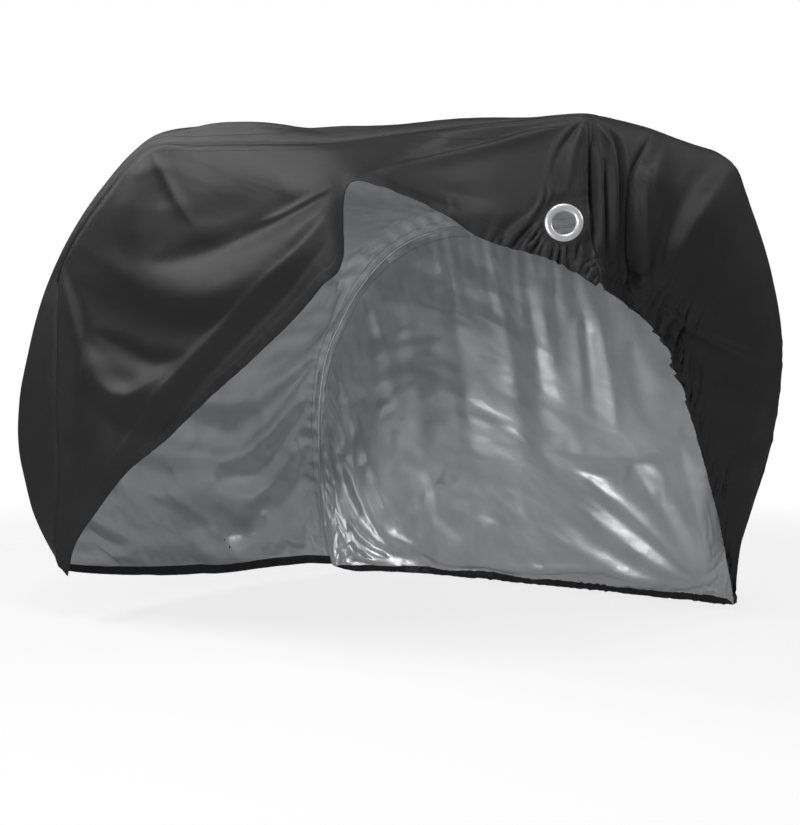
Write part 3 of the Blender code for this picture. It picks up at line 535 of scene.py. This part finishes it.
def stripForm(places):
    curves = through(stripRows, places).transpose(1, 0, 2)
    return across(curves, topStrip["knots"], acrossStrip).transpose(1, 0, 2)


acrossStrip = np.interp(np.linspace(0, 1, topStrip["lines"] + 1), (0, 0.17, 0.53, 0.85, 1), topStrip["knots"])
nearPlaces, stripPlaces, farPlaces = placesOf(nearSide), placesOf(topStrip), placesOf(farSide)
nearGrid, stripGrid, farGrid = nearForm(nearPlaces), stripForm(stripPlaces), farForm(farPlaces)


# Along a seam both panels share one direction, halfway between their normals, and lengthen their
# offset by the mitre, so that their edges meet on one plane.
def seamDirection(side, strip):
    shared = unit(side + strip)
    return shared, 1 / np.maximum(0.3, (shared * side).sum(-1))


def atPlaces(values, wanted):
    return np.stack([np.interp(wanted, nearPlaces, column) for column in values.T], -1)


formOut = [-normalsOf(nearForm(nearPlaces))[:, 0], normalsOf(farForm(nearPlaces))[:, 0],
           normalsOf(stripForm(nearPlaces))]
seamNear, mitreNear = seamDirection(formOut[0], formOut[2][:, 0])
seamFar, mitreFar = seamDirection(formOut[1], formOut[2][:, -1])
nearOut, farOut, stripOut = -normalsOf(nearGrid), normalsOf(farGrid), normalsOf(stripGrid)
nearOut[:, 0] = seamNear
stripOut[:, 0], stripOut[:, -1] = atPlaces(seamNear, stripPlaces), atPlaces(seamFar, stripPlaces)
farOut[:, 0] = atPlaces(seamFar, farPlaces)


# 0 on a line of the grid, easing to 1 at this distance from it.
def easeFrom(grid, line, reach):
    return smoothStep(awayFrom(grid, line) / reach)


print("panels: folds")
ease = cloth["seamEase"]
# At the front the folds run on over the seam; elsewhere the stiff seam stays smooth.
shown = smoothStep((nearPlaces - frontEdge + 0.2) / 1.6)[:, None]
nearEase = easeFrom(nearGrid, 0, ease)
nearRise = foldHeights(outerFolds, onBoard(nearGrid)) * (nearEase + (1 - nearEase) * shown)
shown = smoothStep((stripPlaces - frontEdge + 0.2) / 1.6)[:, None]
flatStrip = np.stack(np.meshgrid(stripPlaces * 0.11, acrossStrip * 0.80, indexing="ij"), -1)
stripRise = foldHeights(outerFolds, onBoard(stripGrid)) * shown
stripRise += foldHeights(stripFolds, flatStrip) * easeFrom(stripGrid, 0, ease)
stripRise *= easeFrom(stripGrid, -1, ease)
farRise = -foldHeights(innerFolds, onBoard(farGrid)) * easeFrom(farGrid, 0, ease)


# Rises next to a seam go the seam's way, so that the cloth never doubles back over it.
def turnedToSeam(out, grid, line):
    share = (1 - easeFrom(grid, line, 0.045))[..., None]
    return unit(out + share * (out[:, line][:, None] - out))


nearOut, farOut = turnedToSeam(nearOut, nearGrid, 0), turnedToSeam(farOut, farGrid, 0)
stripOut = turnedToSeam(turnedToSeam(stripOut, stripGrid, 0), stripGrid, -1)
nearGrid = nearGrid + nearOut * nearRise[..., None]
stripGrid = stripGrid + stripOut * stripRise[..., None]
farGrid = farGrid + farOut * farRise[..., None]

# A short simulation with a little spare cloth, held at its edges. The folds above are its resting
# shape, every point is drawn back to it a little, and each movement is cut short at "most".
# spare length, how firmly the middle is drawn back, gravity, most movement, columns and lines skipped
settling = {
    "strip": {"spare": 0.022, "hold": 0.06, "gravity": 0.30, "most": 0.030, "skip": (2, 2)},
    "far": {"spare": 0.022, "hold": 0.07, "gravity": 0.25, "most": 0.034, "skip": (2, 2)},
    "frames": 20,
}


# The grid thinned to every second line becomes a cloth mesh. Its movement after the last frame, cut
# short as most * tanh(size / most), is spread back over all points by smooth curves.
def settled(name, grid, holding, how):
    pick = [np.unique(np.append(np.arange(0, size, skip), size - 1))
            for size, skip in zip(grid.shape, how["skip"])]
    coarse, weights = grid[pick[0]][:, pick[1]], holding[pick[0]][:, pick[1]].ravel()
    spot = np.arange(len(weights)).reshape(coarse.shape[:2])
    quads = np.stack([spot[:-1, :-1], spot[1:, :-1], spot[1:, 1:], spot[:-1, 1:]], -1).reshape(-1, 4)
    mesh = bpy.data.meshes.new(name)
    mesh.from_pydata(coarse.reshape(-1, 3).tolist(), [], quads.tolist())
    piece = bpy.data.objects.new(name, mesh)
    bpy.context.scene.collection.objects.link(piece)
    group = piece.vertex_groups.new(name="held")
    rounded = np.round(weights, 2)
    for weight in np.unique(rounded[rounded > 0]):
        group.add(np.nonzero(rounded == weight)[0].tolist(), float(weight), "REPLACE")
    modifier = piece.modifiers.new("cloth", "CLOTH")
    facts = modifier.settings
    facts.quality, facts.mass, facts.air_damping = 5, 0.3, 2.0
    facts.tension_stiffness = facts.compression_stiffness = 15
    facts.shear_stiffness, facts.bending_stiffness = 5, 0.3
    facts.vertex_group_mass, facts.pin_stiffness = "held", 1.0
    facts.shrink_min = -how["spare"]
    facts.effector_weights.gravity = how["gravity"]
    modifier.point_cache.frame_start, modifier.point_cache.frame_end = 1, settling["frames"]
    for step in range(1, settling["frames"] + 1):
        bpy.context.scene.frame_set(step)
    shape = piece.evaluated_get(bpy.context.evaluated_depsgraph_get()).to_mesh()
    points = np.empty(len(shape.vertices) * 3, np.float32)
    shape.vertices.foreach_get("co", points)
    moved = points.reshape(coarse.shape) - coarse
    bpy.data.objects.remove(piece)
    bpy.data.meshes.remove(mesh)
    bpy.context.scene.frame_set(1)
    size = np.linalg.norm(moved, axis=-1, keepdims=True)
    moved *= how["most"] * np.tanh(size / how["most"]) / np.maximum(size, 1e-9)
    print("  settled", name, "moved up to", round(float(size.max()) * 1000), "mm, cut short at",
          round(how["most"] * 1000), "mm")
    places = [np.interp(np.arange(size), chosen, np.arange(len(chosen)))
              for size, chosen in zip(grid.shape, pick)]
    return grid + through(through(moved, places[0]).transpose(1, 0, 2), places[1]).transpose(1, 0, 2)


# How firmly each point is held, 0 to 1: the middle a little, the rims fully, easing between.
def holdingOf(grid, middle, seams, hems):
    holding = np.full(grid.shape[:2], middle)
    for line, reach in seams + hems:
        holding = np.maximum(holding, 1 - smoothStep(awayFrom(grid, line) / reach))
    holding[:3] = holding[-3:] = 1
    return holding


print("settling the cloth")
holding = holdingOf(stripGrid, settling["strip"]["hold"], [(0, 0.09), (-1, 0.08)], [])
shoulder = 1 - smoothStep((acrossStrip[None] - 0.16) / 0.2)
overTop = smoothStep((stripPlaces[:, None] - 6) / 2) * 0.6
overTop = overTop + 0.4 * smoothStep((stripPlaces[:, None] - 14) / 2)
holding = np.maximum(holding, np.maximum(shoulder, overTop))
stripGrid = settled("strip", stripGrid, holding, settling["strip"])
holding = holdingOf(farGrid, settling["far"]["hold"], [(0, 0.10)], [(-1, 0.05)])
holding = np.maximum(holding, smoothStep((farPlaces[:, None] - 17.5) / 3))
farGrid = settled("far", farGrid, holding, settling["far"])
nearRise, stripRise, farRise = (np.zeros(grid.shape[:2]) for grid in (nearGrid, stripGrid, farGrid))
seamKept = nearOut[:, 0], stripOut[:, 0], stripOut[:, -1], farOut[:, 0]
nearOut, stripOut, farOut = -normalsOf(nearGrid), normalsOf(stripGrid), normalsOf(farGrid)
nearOut[:, 0], stripOut[:, 0], stripOut[:, -1], farOut[:, 0] = seamKept
nearOut, farOut = turnedToSeam(nearOut, nearGrid, 0), turnedToSeam(farOut, farGrid, 0)
stripOut = turnedToSeam(turnedToSeam(stripOut, stripGrid, 0), stripGrid, -1)

# Gathers of the elastic hem: ruffles across the cloth, tallest at the hem, from noise stretched away
# from it, so that no two are alike.
gathers = {
    # station from, to, wave length, height, how far they reach, all in metres
    "near": ((-1, 3, 0.030, 0.0016, 0.030), (3, 12, 0.034, 0.0011, 0.030), (12, 16, 0.024, 0.0020, 0.035),
             (15.2, 20, 0.016, 0.0065, 0.060), (19, 24, 0.014, 0.0040, 0.050)),
    "front": ((-0.1, 0.35, 0.020, 0.0100, 0.060), (0.25, 1.1, 0.036, 0.0210, 0.085)),
    "far": ((-1, 13, 0.034, 0.0030, 0.040), (11, 24, 0.022, 0.0045, 0.032)),
}


# Noise stretched away from the hem, pushed towards crests and hollows by a tanh, and fading with the
# distance as exp(-(away / length) ^ 1.4).
def gather(away, along, height, wave, reach, seed):
    leant = along + 0.5 * away * softNoise(along, away, reach * 1.5, seed + 2)
    size = 0.6 + 0.6 * softNoise(along, away * 0, wave * 3.1, seed + 1)
    length = reach * (0.8 + 0.5 * softNoise(along, away * 0, wave * 1.3, seed + 4))
    ruffle = np.tanh(2.6 * softNoise(leant, away * 0.45 * wave / reach, wave * 0.42, seed))
    return height * size * np.exp(-(away / length) ** 1.4) * ruffle


# 1 between low and high, easing to 0 over a soft margin at both ends.
def window(value, low, high, soft):
    return smoothStep((value - low) / soft + 0.5) * smoothStep((high - value) / soft + 0.5)


alongNear = travelled(nearGrid[:, -1:], 0)
awayNear = awayFrom(nearGrid, -1)
for k, (first, last, wave, height, reach) in enumerate(gathers["near"]):
    share = window(nearPlaces, first, last, 1.2)[:, None]
    share = share * easeFrom(nearGrid, 0, ease)
    nearRise += share * gather(awayNear, alongNear + 0 * awayNear, height, wave, reach, 11 + 5 * k)
alongFront = travelled(stripGrid[-1:], 1)
awayFront = np.linalg.norm(stripGrid - stripGrid[-1:], axis=-1)
for k, (first, last, wave, height, reach) in enumerate(gathers["front"]):
    share = window(acrossStrip[None], first, last, 0.12)
    share = share * easeFrom(stripGrid, 0, ease) * easeFrom(stripGrid, -1, ease)
    stripRise += share * gather(awayFront, alongFront + 0 * awayFront, height, wave, reach, 41 + 5 * k)
alongFar = travelled(farGrid[:, -1:], 0)
awayFar = awayFrom(farGrid, -1)
for k, (first, last, wave, height, reach) in enumerate(gathers["far"]):
    share = window(farPlaces, first, last, 1.2)[:, None]
    farRise += share * gather(awayFar, alongFar + 0 * awayFar, height, wave, reach, 71 + 5 * k)

# Slight unevenness everywhere, from slow noise.
slack = {"height": 0.0022, "cell": 0.085, "fineHeight": 0.0005, "fineCell": 0.022}


# Slow noise and fine noise added, both slanted across the grid.
def unevenness(grid, seed):
    u, v = travelled(grid, 0), travelled(grid, 1)
    slow = softNoise(u + 0.4 * v, v - 0.3 * u, slack["cell"], seed)
    fine = softNoise(u - 0.6 * v, v + 0.5 * u, slack["fineCell"], seed + 1)
    return slack["height"] * slow + slack["fineHeight"] * fine


nearRise += 0.3 * unevenness(nearGrid, 101) * easeFrom(nearGrid, 0, ease)
stripRise += 0.5 * unevenness(stripGrid, 103) * easeFrom(stripGrid, 0, ease) * easeFrom(stripGrid, -1, ease)
farRise += 0.6 * unevenness(farGrid, 105) * easeFrom(farGrid, 0, ease)

# The far panel and the strip's rear end are crumpled where the light hardly reaches them.
crumple = {"cells": (0.19, 0.10, 0.052), "heights": (0.0120, 0.0065, 0.0026), "turns": (0.4, 1.3, 2.1)}


# Facets of three sizes added, each turned another way.
def crumpled(grid, seed):
    u, v = travelled(grid, 0), travelled(grid, 1)
    layers = enumerate(zip(crumple["cells"], crumple["heights"], crumple["turns"]))
    return sum(height * facets(u, v, cell, turn, seed + 10 * k) for k, (cell, height, turn) in layers)


rearmost = (1 - smoothStep((stripPlaces[:, None] - 6.5) / 3)) * smoothStep((acrossStrip[None] - 0.15) / 0.2)
farEase = easeFrom(stripGrid, -1, ease)
stripRise += crumpled(stripGrid, 151) * rearmost * farEase * farEase
shade = 1 - smoothStep((onBoard(farGrid)[..., 0] - 1.02) / 0.16)
farRise += (crumpled(farGrid, 157) * (0.12 + 0.88 * shade) * easeFrom(farGrid, 0, ease)
            * easeFrom(farGrid, -1, 0.03))

# A shallow groove and small puckers along both seams.
seamDetail = {"groove": 0.0028, "grooveReach": 0.007, "pucker": 0.0009, "wave": 0.017, "puckerReach": 0.016}


# Puckers that start a few millimetres from the seam, less a groove shaped as a bell.
def seamPuckers(grid, line, seed):
    away = awayFrom(grid, line)
    along = travelled(grid[:, line][:, None], 0) + 0 * away
    groove = seamDetail["groove"] * np.exp(-(away / seamDetail["grooveReach"]) ** 2)
    pucker = gather(away, along, seamDetail["pucker"], seamDetail["wave"], seamDetail["puckerReach"], seed)
    return pucker * (1 - np.exp(-(away / 0.004) ** 2)) - groove


nearRise += seamPuckers(nearGrid, 0, 131)
stripRise += seamPuckers(stripGrid, 0, 137) + seamPuckers(stripGrid, -1, 139)
farRise += seamPuckers(farGrid, 0, 143)

nearGrid = nearGrid + nearOut * nearRise[..., None]
stripGrid = stripGrid + stripOut * stripRise[..., None]
farGrid = farGrid + farOut * farRise[..., None]


def facesOf(grid):
    return np.cross(grid[1:, 1:] - grid[:-1, :-1], grid[1:, :-1] - grid[:-1, 1:])


# The cosine between two grids' faces, face by face.
def facesAgree(grid, other):
    return (unit(facesOf(grid)) * unit(facesOf(other))).sum(-1)


# 1 at the corners of the marked faces.
def cornersOf(faces):
    padded = np.pad(faces.astype(float), 1)
    left, right = padded[:, :-1], padded[:, 1:]
    return np.maximum(np.maximum(left[:-1], left[1:]), np.maximum(right[:-1], right[1:]))


# Each point moves to a mean over its neighbours along each axis. An axis leaves its own end rows.
def evened(grid, times):
    grid = grid.copy()
    for _ in range(times):
        grid[1:-1] = grid[1:-1] / 2 + (grid[2:] + grid[:-2]) / 4
        grid[:, 1:-1] = grid[:, 1:-1] / 2 + (grid[:, 2:] + grid[:, :-2]) / 4
    return grid


calming = {  # rounds, how far the cloth is evened, least cosine, least share of width, how far a mark spreads
    "rounds": 12, "evening": 14, "leastCosine": 0.3, "leastWidth": 0.35, "spread": 10,
}


# Corners of faces that have turned far from the evened cloth, or are squeezed narrow against it,
# ease back to it, so that fewer folds double over. The first lines beside the rims stay.
def calmed(grid):
    line = np.arange(grid.shape[1])
    inside = np.clip((np.minimum(line, line[::-1]) - 3) / 6, 0, 1)
    for _ in range(calming["rounds"]):
        even = evened(grid, calming["evening"])
        even[[0, -1]], even[:, [0, -1]] = grid[[0, -1]], grid[:, [0, -1]]
        wide = (facesOf(grid) * facesOf(even)).sum(-1) / (facesOf(even) ** 2).sum(-1)
        marked = (facesAgree(grid, even) < calming["leastCosine"]) | (wide < calming["leastWidth"])
        share = np.clip(evened(cornersOf(marked), calming["spread"]) * 3, 0, 1) * inside
        grid = grid + share[..., None] * (even - grid)
    return grid


stripGrid, farGrid = calmed(stripGrid), calmed(farGrid)

# The cloth lies flat under the eyelet.
eyelet = {"centre": (-0.4272, 1.2560, 0.7960), "normal": (0.45, -0.892, 0.02), "outer": 0.0315,
          "hole": 0.0195, "cut": 0.0222, "flat": 0.034, "blend": 0.052}
eyeletNormal = unit(np.array(eyelet["normal"]))
eyeletCentre = np.array(eyelet["centre"])


# Height over the eyelet's plane, distance from its axis, and a share that is 1 near the axis.
def flatness(grid):
    offset = grid - eyeletCentre
    height = offset @ eyeletNormal
    radius = np.sqrt(np.maximum((offset**2).sum(-1) - height**2, 0))
    return height, radius, 1 - smoothStep((radius - eyelet["flat"]) / (eyelet["blend"] - eyelet["flat"]))


height, radius, flat = flatness(nearGrid)
nearGrid = nearGrid - (flat * height)[..., None] * eyeletNormal
height, radius, flat = flatness(stripGrid)
stripGrid = stripGrid - (flat * height)[..., None] * eyeletNormal
farGrid[..., 2] = np.maximum(farGrid[..., 2], cloth["hemThickness"] * 0.55)

# Cells inside the eyelet's hole go, and their edge is drawn onto a circle.
height, radius, flat = flatness(nearGrid)
cellRadius = (radius[:-1, :-1] + radius[1:, :-1] + radius[1:, 1:] + radius[:-1, 1:]) / 4
kept = cellRadius > eyelet["cut"]
padded = np.pad(kept, 1, constant_values=True)
touchesKept = padded[:-1, :-1] | padded[1:, :-1] | padded[1:, 1:] | padded[:-1, 1:]
touchesCut = ~(padded[:-1, :-1] & padded[1:, :-1] & padded[1:, 1:] & padded[:-1, 1:])
loop = touchesKept & touchesCut
offset = nearGrid[loop] - eyeletCentre
offset -= (offset @ eyeletNormal)[:, None] * eyeletNormal
nearGrid[loop] = eyeletCentre + eyelet["cut"] * unit(offset)

# Offsets to the cloth's faces, with a rounded thicker casing at the hem.
print("panels: sheets")
nearOut, farOut, stripOut = -normalsOf(nearGrid), normalsOf(farGrid), normalsOf(stripGrid)
flat = flatness(nearGrid)[2][..., None]
nearOut = unit((1 - flat) * nearOut + flat * eyeletNormal)
nearOut[:, 0] = seamNear * mitreNear[:, None]
farOut[:, 0] = atPlaces(seamFar * mitreFar[:, None], farPlaces)
stripOut[:, 0] = atPlaces(seamNear * mitreNear[:, None], stripPlaces)
stripOut[:, -1] = atPlaces(seamFar * mitreFar[:, None], stripPlaces)


# Half thickness: the casing's is an arch that rises just below its stitches and rounds off at the edge.
def halfThickness(away):
    inCasing = np.clip(away / cloth["hemWidth"], 0, 1)
    arch = np.sqrt(np.clip(1 - (2 * inCasing - 1) ** 4, 0, 1)) * (away < cloth["hemWidth"])
    return cloth["thickness"] / 2 + (cloth["hemThickness"] - cloth["thickness"]) / 2 * arch


awayNear = awayFrom(nearGrid, -1)
awayFar = awayFrom(farGrid, -1)
awayRear = np.linalg.norm(stripGrid - stripGrid[:1], axis=-1)
awayFront = np.linalg.norm(stripGrid - stripGrid[-1:], axis=-1)
stripAway = np.minimum(awayRear, awayFront)


# The offset is less where the curve is so tight that a face of either side would turn over.
def offsetOf(grid, out, half):
    for _ in range(8):
        off = out * half[..., None]
        turned = (facesAgree(grid + off, grid) < 0.1) | (facesAgree(grid - off, grid) < 0.1)
        half = half * (1 - 0.3 * cornersOf(turned))
    return out * half[..., None]


nearOff = nearOut * halfThickness(awayNear)[..., None]
farOff = offsetOf(farGrid, farOut, halfThickness(awayFar))
stripOff = offsetOf(stripGrid, stripOut, halfThickness(stripAway))
gap = cloth["seamGap"] / 2
nearGrid[:, 0] += gap * unit(nearGrid[:, 1] - nearGrid[:, 0])
farGrid[:, 0] += gap * unit(farGrid[:, 1] - farGrid[:, 0])
stripGrid[:, 0] += gap * unit(stripGrid[:, 1] - stripGrid[:, 0])
stripGrid[:, -1] += gap * unit(stripGrid[:, -2] - stripGrid[:, -1])

print("finishes")


# Dashes of thread in rows: high where the distance from an edge is near a row's, and the way along
# is inside a stitch.
def stitches(wire, edge, along, rowsAt, width, pitch):
    rows = None
    for place in rowsAt:
        row = 1 - abs(edge - place).rising(width * 0.4, width)
        rows = row if rows is None else rows + row
    beat = along / pitch
    dash = beat.maths("FRACT", beat)
    return rows * (1 - abs(dash - 0.5).rising(0.30, 0.42))


# Coated cloth: two shades mixed by slow noise, with creases, fine crinkle, weave and thread as bumps.
def clothMaterial(name, values, colour, shade, weaveHeight, crinkle, casing=None):
    made, shader, wire = newMaterial(name, values)
    uv = wire.node("ShaderNodeUVMap", {"uv_map": "flat"})
    edge = wire.node("ShaderNodeAttribute", {"attribute_name": "fromEdge"}, None, 2)
    parts = wire.node("ShaderNodeSeparateXYZ", None, {0: uv})
    u, v = parts, Wire(made.node_tree, parts.socket.node.outputs[1])
    along = u + v
    # plain weave: two crossed sine waves, each 0.7 mm long
    warp, weft = u * 9000, v * 9000
    weave = warp.maths("SINE", warp) * weft.maths("SINE", weft)
    slow = wire.node("ShaderNodeTexNoise", None, {"Vector": uv, "Scale": 9.0, "Detail": 4.0})
    fine = wire.node("ShaderNodeTexNoise", None,
                     {"Vector": uv, "Scale": 70.0, "Detail": 5.0, "Roughness": 0.6})
    creases = wire.node("ShaderNodeTexNoise", {"noise_type": "RIDGED_MULTIFRACTAL"},
                        {"Vector": uv, "Scale": 16.0, "Detail": 3.0})
    thread = stitches(wire, edge, along, (0.0035, 0.0245), 0.0007, 0.0036)
    normal = bumped(wire, creases, crinkle[0])
    normal = bumped(wire, fine, crinkle[1], normal)
    normal = bumped(wire, weave, weaveHeight, normal)
    normal = bumped(wire, thread, 0.0006, normal)
    feed(made, shader, "Normal", normal)
    tinted = mixColours(wire, slow.rising(0.35, 0.7), (*colour, 1), (*shade, 1))
    rough = values["Roughness"] - 0.05 + fine * 0.08 + slow * 0.04
    if casing:  # the hem is turned in, so its inside shows the outside's coating
        hem = wire.node("ShaderNodeAttribute", {"attribute_name": "fromHem"}, None, 2)
        silver = hem.rising(cloth["hemWidth"] - 0.0008, cloth["hemWidth"])
        tinted = mixColours(wire, silver, (*casing, 1), tinted)
        feed(made, shader, "Metallic", silver * values["Metallic"])
        rough = rough + (1 - silver) * 0.15
    feed(made, shader, "Base Color", mixColours(wire, thread, tinted, (0.03, 0.03, 0.031, 1)))
    feed(made, shader, "Roughness", rough)
    return made


blackCloth = clothMaterial("blackCoatedCloth", {"Roughness": 0.46, "Specular IOR Level": 0.42, "IOR": 1.5},
                           (0.017, 0.017, 0.0175), (0.020, 0.020, 0.0206), 0.00004, (0.0003, 0.00015))
silverCloth = clothMaterial("silverCoatedBack", {"Roughness": 0.37, "Metallic": 0.9},
                            (0.78, 0.785, 0.80), (0.87, 0.875, 0.89), 0.00003, (0.0020, 0.0005),
                            (0.011, 0.011, 0.0113))
looks = (blackCloth, silverCloth)


# A panel's sheet, with each point's distance from its hem and from its nearest edge, for the finish.
def clothPanel(name, grid, offsets, fromHem, seamLines, way=1, kept=None):
    fromEdge = np.minimum.reduce([fromHem, *(awayFrom(grid, line) for line in seamLines)])
    cells = None if kept is None else kept[:, ::way]
    made, used = clothObject(name, grid[:, ::way], offsets[:, ::way], looks, cells)
    pointAttribute(made, "fromHem", fromHem[:, ::way], used)
    pointAttribute(made, "fromEdge", fromEdge[:, ::way], used)
    return made


# The near grid runs the other way, so that all faces point outwards.
nearPanel = clothPanel("near_panel_cloth", nearGrid, nearOff, awayNear, (0,), -1, kept)
strip = clothPanel("strip_cloth", stripGrid, stripOff, stripAway, (0, -1))
farPanel = clothPanel("far_panel_cloth", farGrid, farOff, awayFar, (0,))

# The eyelet: a profile of radius and height turned round its axis.
print("eyelet")
ring = {"sides": 96, "rollSteps": 14, "flange": 0.0032, "wall": 0.0012}


# A profile of (radius, height) turned about the eyelet's axis and closed on itself.
def turnedRing(name, profile, look):
    level = unit(np.cross((0.0, 0.0, 1.0), eyeletNormal))
    upright = np.cross(eyeletNormal, level)
    angles = np.linspace(0, 2 * math.pi, ring["sides"], endpoint=False)
    outwards = np.cos(angles)[:, None] * level + np.sin(angles)[:, None] * upright
    profile = np.array(profile)
    points = (eyeletCentre + foot + profile[None, :, :1] * outwards[:, None]
              + profile[None, :, 1:] * eyeletNormal)
    spot = np.arange(ring["sides"] * len(profile)).reshape(ring["sides"], -1)
    after = np.roll(spot, -1, axis=0)
    faces = np.stack([spot, after, np.roll(after, -1, 1), np.roll(spot, -1, 1)], -1).reshape(-1, 4)
    mesh = bpy.data.meshes.new(name)
    mesh.from_pydata(points.reshape(-1, 3).tolist(), [], faces.tolist())
    mesh.polygons.foreach_set("use_smooth", np.ones(len(faces), bool))
    mesh.set_sharp_from_angle(angle=math.radians(50))
    mesh.materials.append(look)
    made = bpy.data.objects.new(name, mesh)
    bpy.context.scene.collection.objects.link(made)
    return made


# A rounded roll over the front face and a thin flange behind, joined through the hole.
def ringProfile():
    face = 0.0015
    turns = np.linspace(0, math.pi, ring["rollSteps"])
    middle, half = (eyelet["hole"] + eyelet["outer"]) / 2, (eyelet["outer"] - eyelet["hole"]) / 2
    roll = [(middle + half * math.cos(t), face + ring["flange"] * math.sin(t) ** 0.8) for t in turns]
    behind = [(eyelet["hole"], -face - 0.0010), (eyelet["hole"] + 0.0008, -face - 0.0016),
              (eyelet["outer"] - 0.003, -face - 0.0012), (eyelet["outer"] - 0.002, -face - 0.0006),
              (eyelet["outer"] - 0.002, -face), (eyelet["hole"] + ring["wall"], -face),
              (eyelet["hole"] + ring["wall"], face)]
    return roll + behind


brightMetal, shader, wire = newMaterial("brightEyeletMetal", {"Metallic": 0.6, "Roughness": 0.28})
place = wire.node("ShaderNodeTexCoord", None, None, 3)
marks = wire.node("ShaderNodeTexNoise", None, {"Vector": place, "Scale": 900.0, "Detail": 3.0})
worn = wire.node("ShaderNodeTexNoise", None, {"Vector": place, "Scale": 60.0, "Detail": 3.0})
feed(brightMetal, shader, "Roughness", 0.24 + marks * 0.10)
feed(brightMetal, shader, "Base Color", mixColours(wire, worn.rising(0.4, 0.7), (0.92, 0.92, 0.93, 1),
                                                   (0.85, 0.85, 0.87, 1)))
feed(brightMetal, shader, "Normal", bumped(wire, marks, 0.00004))
eyeletRing = turnedRing("eyelet_ring_turned", ringProfile(), brightMetal)

# Every cloth grid is in metres from the camera's foot, so the meshes move to the cover's own middle.
for piece in (nearPanel, strip, farPanel):
    points = np.empty(len(piece.data.vertices) * 3, np.float32)
    piece.data.vertices.foreach_get("co", points)
    points = points.reshape(-1, 3) + foot.astype(np.float32)
    piece.data.vertices.foreach_set("co", points.ravel())
    piece.data.update()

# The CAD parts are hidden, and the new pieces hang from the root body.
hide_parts("side_panel_near", "eyelet_strip")
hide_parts("top_and_end_strip")
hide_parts("side_panel_far")
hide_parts("eyelet_ring")
for piece, slot in ((nearPanel, "coated_cloth"), (strip, "coated_cloth"), (farPanel, "coated_cloth"),
                    (eyeletRing, "bright_metal")):
    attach(piece, "root")

print("stage")
floorMesh = bpy.data.meshes.new("floor")
floorMesh.from_pydata([(-6, -6, -0.0005), (6, -6, -0.0005), (6, 6, -0.0005), (-6, 6, -0.0005)], [],
                      [(0, 1, 2, 3)])
floor = bpy.data.objects.new("floor", floorMesh)
bpy.context.scene.collection.objects.link(floor)
floorLook, shader, wire = newMaterial("paleFloor", {
    "Base Color": (0.84, 0.84, 0.845, 1), "Roughness": 0.8, "Specular IOR Level": 0.1,
    "Emission Color": (1, 1, 1, 1), "Emission Strength": 0.25})
# the floor fades into the white backdrop with its distance from the cover
middle = wire.node("ShaderNodeVectorMath", {"operation": "LENGTH"},
                   {0: wire.node("ShaderNodeTexCoord", None, None, 3)}, 1)
shown = 0.3 - 0.3 * middle.rising(1.6, 4.2)
feed(floorLook, shader, "Alpha", shown)
floorMesh.materials.append(floorLook)
floor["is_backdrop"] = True

lights = {  # size, watts, place, aim
    "key": (1.8, 62, (-2.6, -1.7, 3.4), (-0.1, 0.0, 0.5)),
    "right": (1.2, 26, (3.2, 0.4, 2.7), (0.4, 0.0, 0.6)),
    "high": (0.9, 40, (1.0, -1.7, 3.6), (0.6, 0.0, 0.8)),
    "front": (0.8, 34, (0.3, -3.3, 1.2), (0.3, 0.6, 0.4)),
}
for name, (size, watts, place, aim) in lights.items():
    data = bpy.data.lights.new(name, "AREA")
    data.shape, data.size, data.energy = "SQUARE", size, watts
    lamp = bpy.data.objects.new(name, data)
    lamp.location = place
    away = np.array(place) - np.array(aim)
    tilt = math.atan2(math.hypot(away[0], away[1]), away[2])
    lamp.rotation_euler = (tilt, 0, math.atan2(away[0], -away[1]))
    bpy.context.scene.collection.objects.link(lamp)
world = bpy.data.worlds.new("studio")
world.use_nodes = True
background = world.node_tree.nodes["Background"]
background.inputs[0].default_value = (1.0, 1.0, 1.0, 1)
wire = Wire(world.node_tree)
seen = wire.node("ShaderNodeLightPath")  # white where it shows, dimmer as light
world.node_tree.links.new((seen * 0.88 + 0.12).socket, background.inputs[1])
bpy.context.scene.world = world
bpy.context.scene.view_settings.view_transform = "Standard"

{"cad": cadBox, "visual": [list(corner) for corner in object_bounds()]}
